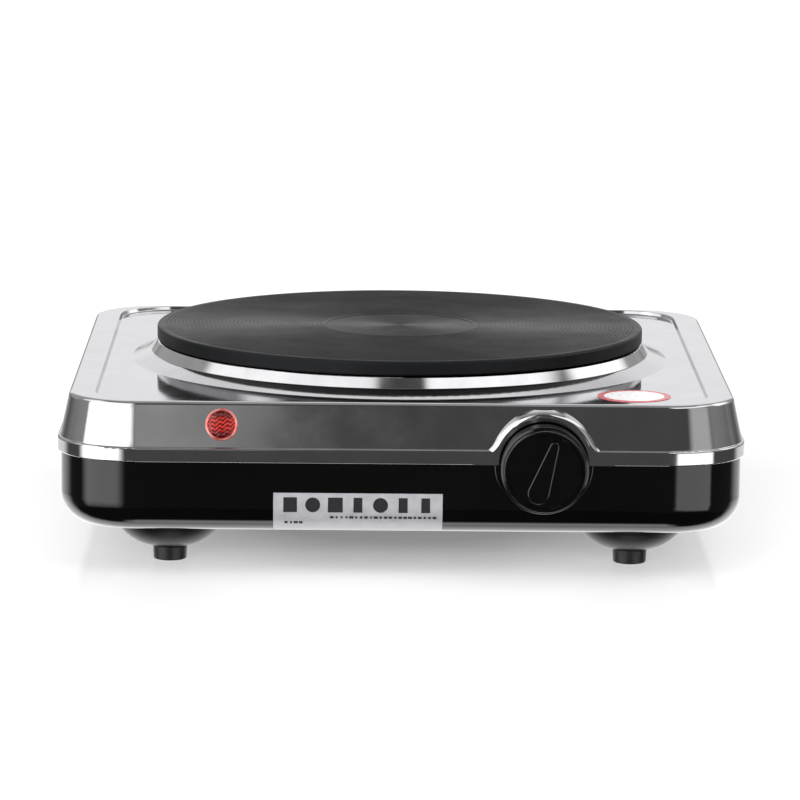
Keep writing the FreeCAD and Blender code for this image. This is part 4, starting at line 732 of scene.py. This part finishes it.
def ridged_lens(work, sizes):
    """Fills a bmesh with the lens: a back, a rounded rim and a low dome crossed by wavy ridges."""
    sectors = 96
    rim_steps = 10
    window_steps = 34
    rim_width = sizes.radius - sizes.window_radius
    rim_rise = 0.35 * rim_width
    profile = [(sizes.radius, 0.0)]
    for i in range(rim_steps + 1):
        turn = math.pi * i / rim_steps
        radius = sizes.radius - rim_width / 2 + rim_width / 2 * math.cos(turn)
        height = sizes.rim_height - rim_rise + rim_rise * math.sin(turn)
        profile.append((radius, height))
    rings = []
    for radius, height in profile:
        rings.append(lens_ring(work, radius, lambda x, z, h=height: h, sectors))
    for i in range(1, window_steps):
        radius = sizes.window_radius * (1 - i / window_steps)
        rings.append(lens_ring(work, radius, lambda x, z: window_height(x, z, sizes), sectors))
    for outer, inner in zip(rings[:-1], rings[1:]):
        for i in range(sectors):
            j = (i + 1) % sectors
            work.faces.new((outer[i], outer[j], inner[j], inner[i]))
    work.faces.new(rings[-1])
    work.faces.new(list(reversed(rings[0])))


def lens_ring(work, radius, height_at, sectors):
    """One ring of points of the lens, whose axis is -Y before it is placed."""
    ring = []
    for i in range(sectors):
        angle = 2 * math.pi * i / sectors
        x = radius * math.cos(angle)
        z = radius * math.sin(angle)
        ring.append(work.verts.new((x, -height_at(x, z), z)))
    return ring


def ridge_share(x, z, sizes):
    """0 in the grooves and 1 on the crests of the window's slanting, wavy ridges."""
    slant = 0.35
    wave_height = 0.3 * sizes.ridge_pitch
    wave_length = 1.7 * sizes.ridge_pitch
    across = z - slant * x + wave_height * math.sin(2 * math.pi * x / wave_length)
    return 0.5 - 0.5 * math.cos(2 * math.pi * across / sizes.ridge_pitch)


def window_height(x, z, sizes):
    """Height of the ridged window over the slope at a point across it."""
    share = math.hypot(x, z) / sizes.window_radius
    dome = sizes.dome_height * (1 - share ** 2)
    fade = 1 - share ** 6
    floor = sizes.rim_height - sizes.ridge_depth
    return floor + dome + sizes.ridge_depth * ridge_share(x, z, sizes) * fade


def clamp(value):
    """The value kept between 0 and 1."""
    return min(1.0, max(0.0, value))


def shade_lens(mesh, sizes):
    """Marks the rim, palest at its sides as painted light, and painted highlights on the crests across a lit
    middle band, for the lens's colour.
    """
    edge = mesh.attributes.new("edge", "FLOAT", "POINT")
    crest_painted_light = mesh.attributes.new("crest_painted_light", "FLOAT", "POINT")
    rim_start = 0.3 * (sizes.radius - sizes.window_radius)
    for vertex in mesh.vertices:
        x, _, z = vertex.co
        distance = math.hypot(x, z)
        on_rim = clamp((distance - sizes.window_radius) / rim_start)
        sideways = abs(x) / max(distance, 0.1 * MM)
        # Painted light: the rim's left and right sides take the most of the pale rim colour.
        edge.data[vertex.index].value = on_rim * (0.3 + 0.7 * sideways)
        # Painted highlight on the crests, fading to painted shade towards the window's top and bottom.
        lit_band = clamp(1.9 - 2.7 * abs(z) / sizes.window_radius)
        crest_painted_light.data[vertex.index].value = lit_band * ridge_share(x, z, sizes) ** 1.5


class HOTPLATE_OT_pilot_lens(bpy.types.Operator):
    """Build the ridged red lens of the pilot lamp on the front slope"""
    bl_idname = "hotplate.pilot_lens"
    bl_label = "Pilot lens"

    def execute(self, context):
        sizes = context.scene.hotplate_lens
        low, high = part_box("lamp_lens")
        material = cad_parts["lamp_lens"].material_slots[0].material
        piece = mesh_from("ridged_pilot_lens", lambda work: ridged_lens(work, sizes), material)
        shade_lens(piece.data, sizes)
        cad_rim = 0.9 * MM
        cad_dome = 1.3 * MM
        centre = Vector((
            (low.x + high.x) / 2,
            low.y + (cad_rim + cad_dome) * math.cos(sizes.lean),
            high.z - sizes.radius * math.cos(sizes.lean) - cad_rim * math.sin(sizes.lean),
        ))
        piece.data.transform(Matrix.Translation(centre) @ Matrix.Rotation(-sizes.lean, 4, "X"))
        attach(piece, "base")
        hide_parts("lamp_lens")
        return {"FINISHED"}


def grip_rib_tree():
    """Ring of rounded ribs round an axis along Y."""
    tree, given = new_tree("grip_ribs", [
        ("Count", "NodeSocketInt"), ("Ring radius", "NodeSocketFloat"), ("Rib radius", "NodeSocketFloat"),
        ("Length", "NodeSocketFloat"), ("Centre", "NodeSocketVector"), ("Finish", "NodeSocketMaterial"),
    ])
    ring = add(tree, "GeometryNodeMeshCircle", {"Vertices": given["Count"], "Radius": given["Ring radius"]})
    rib = add(tree, "GeometryNodeMeshCylinder", {
        "Vertices": 10, "Radius": given["Rib radius"], "Depth": given["Length"]})
    placed = add(tree, "GeometryNodeInstanceOnPoints", {
        "Points": ring.outputs["Mesh"], "Instance": rib.outputs["Mesh"]})
    turned = add(tree, "GeometryNodeTransform", {
        "Geometry": placed.outputs["Instances"], "Rotation": (math.radians(90), 0, 0),
        "Translation": given["Centre"]})
    finish_tree(tree, turned.outputs["Geometry"], given["Finish"])
    return tree


class HOTPLATE_OT_gland_ribs(bpy.types.Operator):
    """Put grip ribs round the collar of the cord inlet"""
    bl_idname = "hotplate.gland_ribs"
    bl_label = "Gland ribs"

    def execute(self, context):
        sizes = context.scene.hotplate_gland
        low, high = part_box("cord_inlet_bush")
        collar_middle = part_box("lower_pan")[1].y + 0.9 * MM
        centre = ((low.x + high.x) / 2, collar_middle, (low.z + high.z) / 2)
        rib_depth_in_collar = 0.1 * MM
        piece = grown_piece("gland_grip_ribs", grip_rib_tree(), {
            "Count": sizes.rib_count, "Ring radius": (high.x - low.x) / 2 - rib_depth_in_collar,
            "Rib radius": sizes.rib_width / 2, "Length": sizes.rib_length, "Centre": centre,
            "Finish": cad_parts["cord_inlet_bush"].material_slots[0].material,
        })
        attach(piece, "base")
        return {"FINISHED"}


# ---------------------------------------------------------------- stage

DARKEST_LEVEL = 0.04
# Brightness, azimuth from the front to the right, height angle and softness of the edges, in degrees.
# Azimuths past 180 degrees either way mean that there is no limit on that side.
STUDIO_PATCHES = (
    # Tall softbox on the left, low and high, then its top that only the spill ring and hood mirror.
    (2.40, (-86, -12), (0, 38), 4),
    (2.40, (-86, -24), (-24, 3), 9),
    (1.50, (-112, -14), (36, 57), 4),
    (1.50, (-112, -84), (22, 40), 4),
    (0.35, (-130, -84), (0, 38), 8),
    # Softbox on the right: high, round its side, low, and its dim face.
    (1.60, (16, 112), (38, 60), 3),
    (1.80, (98, 138), (16, 46), 5),
    (2.00, (16, 72), (-24, -1), 3),
    (0.30, (72, 125), (1, 36), 8),
    (0.60, (38, 74), (1, 36), 7),
    # Thin gap of light left of the camera.
    (0.50, (-3.4, -1.2), (2, 30), 0.9),
    # Grey room and its ceiling.
    (0.085, (-400, 400), (-30, 100), 2),
    (0.40, (-400, 400), (64, 100), 5),
    # White cloth behind the hotplate, and its dim sides.
    (1.10, (158, 400), (1, 60), 6),
    (1.10, (-400, -158), (1, 60), 6),
    (0.45, (112, 160), (1, 66), 8),
    (0.45, (-160, -112), (1, 66), 8),
    # Lit table below the body and behind it.
    (2.40, (-400, 400), (-120, -81), 5),
    (2.00, (124, 400), (-84, -10), 12),
    (2.00, (-400, -124), (-84, -10), 12),
)


def angle_window(tree, angle, low, high, soft):
    """1 where an angle in degrees lies between two limits, with soft edges."""
    rise = add(tree, "ShaderNodeMapRange", {
        "Value": angle, "From Min": low - soft, "From Max": low + soft}, interpolation_type="SMOOTHSTEP")
    fall = add(tree, "ShaderNodeMapRange", {
        "Value": angle, "From Min": high - soft, "From Max": high + soft, "To Min": 1.0, "To Max": 0.0},
        interpolation_type="SMOOTHSTEP")
    return add(tree, "ShaderNodeMath", {
        0: rise.outputs["Result"], 1: fall.outputs["Result"]}, operation="MULTIPLY").outputs["Value"]


def studio_surroundings():
    """Studio that the bright metal mirrors: dark in front, with soft lamps and white cloths round it."""
    world = bpy.data.worlds.new("studio_surroundings")
    world.use_nodes = True
    tree = world.node_tree
    tree.nodes.clear()
    direction = add(tree, "ShaderNodeTexCoord").outputs["Generated"]
    parts = add(tree, "ShaderNodeSeparateXYZ", {"Vector": direction}).outputs
    forward = add(tree, "ShaderNodeMath", {0: parts["Y"], 1: -1.0}, operation="MULTIPLY").outputs["Value"]
    azimuth = add(tree, "ShaderNodeMath", {0: parts["X"], 1: forward}, operation="ARCTAN2").outputs["Value"]
    azimuth = add(tree, "ShaderNodeMath", {0: azimuth}, operation="DEGREES").outputs["Value"]
    elevation = add(tree, "ShaderNodeMath", {0: parts["Z"]}, operation="ARCSINE").outputs["Value"]
    elevation = add(tree, "ShaderNodeMath", {0: elevation}, operation="DEGREES").outputs["Value"]
    level = DARKEST_LEVEL
    for brightness, across, upright, soft in STUDIO_PATCHES:
        patch = add(tree, "ShaderNodeMath", {
            0: angle_window(tree, azimuth, *across, soft), 1: angle_window(tree, elevation, *upright, soft),
        }, operation="MULTIPLY").outputs["Value"]
        lit = add(tree, "ShaderNodeMath", {0: patch, 1: brightness}, operation="MULTIPLY").outputs["Value"]
        level = add(tree, "ShaderNodeMath", {0: level, 1: lit}, operation="MAXIMUM").outputs["Value"]
    background = add(tree, "ShaderNodeBackground", {"Color": level})
    add(tree, "ShaderNodeOutputWorld", {"Surface": background.outputs["Background"]})
    return world


def plain_floor(settings):
    """Pale acrylic table, faintly glossy, with painted light of its own: weak under the body, brightest in a
    ring just round it that lifts its shadow, and rising far away so the distant floor reads white.
    """
    half = settings.floor_size / 2

    def build(work):
        corners = [(-half, -half, 0), (half, -half, 0), (half, half, 0), (-half, half, 0)]
        work.faces.new([work.verts.new(corner) for corner in corners])

    material = bpy.data.materials.new("pale_acrylic_table")
    material.use_nodes = True
    tree = material.node_tree
    tree.nodes.clear()
    point = object_point(tree)
    mottle = noise(tree, point, 300.0, 3.0)
    distance, _ = polar(tree, point)
    matt = add(tree, "ShaderNodeBsdfDiffuse", {"Color": settings.floor_colour})
    # Painted light: glow that lifts the shadow round the body, weaker under the body, then rising again far
    # from it.
    near = spread(tree, distance, 0.8 * settings.floor_glow, 1.8 * settings.floor_glow, (0.05, 0.11))
    middle = spread(tree, distance, 0.0, -0.5 * settings.floor_glow, (0.12, 0.22))
    far = spread(tree, distance, 0.0, 0.45, (0.3, 1.6))
    inner = add(tree, "ShaderNodeMath", {0: near, 1: middle}, operation="ADD")
    painted_floor_light = add(tree, "ShaderNodeMath", {0: inner.outputs["Value"], 1: far}, operation="ADD")
    white = (1, 1, 1, 1)
    glow = add(tree, "ShaderNodeEmission", {"Color": white, "Strength": painted_floor_light.outputs["Value"]})
    lit = add(tree, "ShaderNodeAddShader", {0: matt.outputs["BSDF"], 1: glow.outputs["Emission"]})
    sheen = add(tree, "ShaderNodeBsdfGlossy", {"Roughness": spread(tree, mottle, 0.04, 0.07)})
    mixed = add(tree, "ShaderNodeMixShader", {
        0: settings.floor_gloss, 1: lit.outputs["Shader"], 2: sheen.outputs["BSDF"]})
    add(tree, "ShaderNodeOutputMaterial", {"Surface": mixed.outputs["Shader"]})
    floor = mesh_from("studio_floor", build, material)
    floor.visible_glossy = False
    return floor


def area_light(name, place, aim, width, height, watts):
    """Soft rectangular light that neither the camera nor a mirror sees."""
    data = bpy.data.lights.new(name, "AREA")
    data.shape = "RECTANGLE"
    data.size = width
    data.size_y = height
    data.energy = watts
    lamp = bpy.data.objects.new(name, data)
    bpy.context.scene.collection.objects.link(lamp)
    lamp.location = place
    lamp.rotation_euler = (Vector(aim) - Vector(place)).to_track_quat("-Z", "Y").to_euler()
    lamp.visible_camera = False
    lamp.visible_glossy = False
    return lamp


def studio_camera(settings):
    """Camera in front of the body, aimed at a point near its middle."""
    centre_x, centre_y, _ = body_centre()
    aim = Vector((centre_x + settings.aim_right, centre_y, settings.aim_height))
    flat = math.cos(settings.elevation)
    back = Vector((
        math.sin(settings.azimuth) * flat, -math.cos(settings.azimuth) * flat, math.sin(settings.elevation)))
    data = bpy.data.cameras.new("studio_camera")
    data.sensor_width = 36.0
    data.lens = settings.lens
    data.clip_end = 50.0
    camera = bpy.data.objects.new("studio_camera", data)
    bpy.context.scene.collection.objects.link(camera)
    turn = back.to_track_quat("Z", "Y").to_matrix().to_4x4()
    camera.matrix_world = (
        Matrix.Translation(aim + back * settings.distance) @ turn @ Matrix.Rotation(settings.roll, 4, "Z"))
    return camera


class HOTPLATE_OT_stage(bpy.types.Operator):
    """Set up the floor, the soft light and the camera"""
    bl_idname = "hotplate.stage"
    bl_label = "Stage"

    def execute(self, context):
        settings = context.scene.hotplate_stage
        scene = context.scene
        scene.world = studio_surroundings()
        scene.view_settings.view_transform = "Standard"
        plain_floor(settings)
        area_light(
            "overhead_fill", place=(0, 0.2, 2.2), aim=(0, 0.1, 0), width=3.2, height=3.2, watts=20.0)
        area_light(
            "front_fill", place=(0, -1.9, 0.40), aim=(0, -0.1, 0), width=2.8, height=0.7, watts=34.0)
        scene.camera = studio_camera(settings)
        return {"FINISHED"}


# ---------------------------------------------------------------- panel and registration

class HOTPLATE_PT_panel(bpy.types.Panel):
    """Everything that builds the hotplate's looks."""
    bl_idname = "HOTPLATE_PT_panel"
    bl_label = "Hotplate"
    bl_space_type = "VIEW_3D"
    bl_region_type = "UI"
    bl_category = "Hotplate"

    def draw(self, context):
        layout = self.layout
        for operator in OPERATORS:
            layout.operator(operator.bl_idname)
        for group in SETTINGS:
            box = layout.box()
            values = getattr(context.scene, group)
            for name in values.bl_rna.properties.keys():
                if name not in ("rna_type", "name"):
                    box.prop(values, name)


SETTINGS = {
    "hotplate_label": HOTPLATE_label_settings,
    "hotplate_lens": HOTPLATE_lens_settings,
    "hotplate_sticker": HOTPLATE_sticker_settings,
    "hotplate_gland": HOTPLATE_gland_settings,
    "hotplate_stage": HOTPLATE_stage_settings,
}
OPERATORS = (
    HOTPLATE_OT_finishes,
    HOTPLATE_OT_label_print,
    HOTPLATE_OT_pilot_lens,
    HOTPLATE_OT_gland_ribs,
    HOTPLATE_OT_stage,
)


def register():
    for name, group in SETTINGS.items():
        bpy.utils.register_class(group)
        setattr(bpy.types.Scene, name, bpy.props.PointerProperty(type=group))
    for operator in OPERATORS:
        bpy.utils.register_class(operator)
    bpy.utils.register_class(HOTPLATE_PT_panel)


def unregister():
    bpy.utils.unregister_class(HOTPLATE_PT_panel)
    for operator in reversed(OPERATORS):
        bpy.utils.unregister_class(operator)
    for name, group in SETTINGS.items():
        delattr(bpy.types.Scene, name)
        bpy.utils.unregister_class(group)


def main():
    """Builds the looks in order."""
    register()
    bpy.ops.hotplate.finishes()
    bpy.ops.hotplate.label_print()
    bpy.ops.hotplate.pilot_lens()
    bpy.ops.hotplate.gland_ribs()
    bpy.ops.hotplate.stage()


if __name__ == "__main__":
    main()
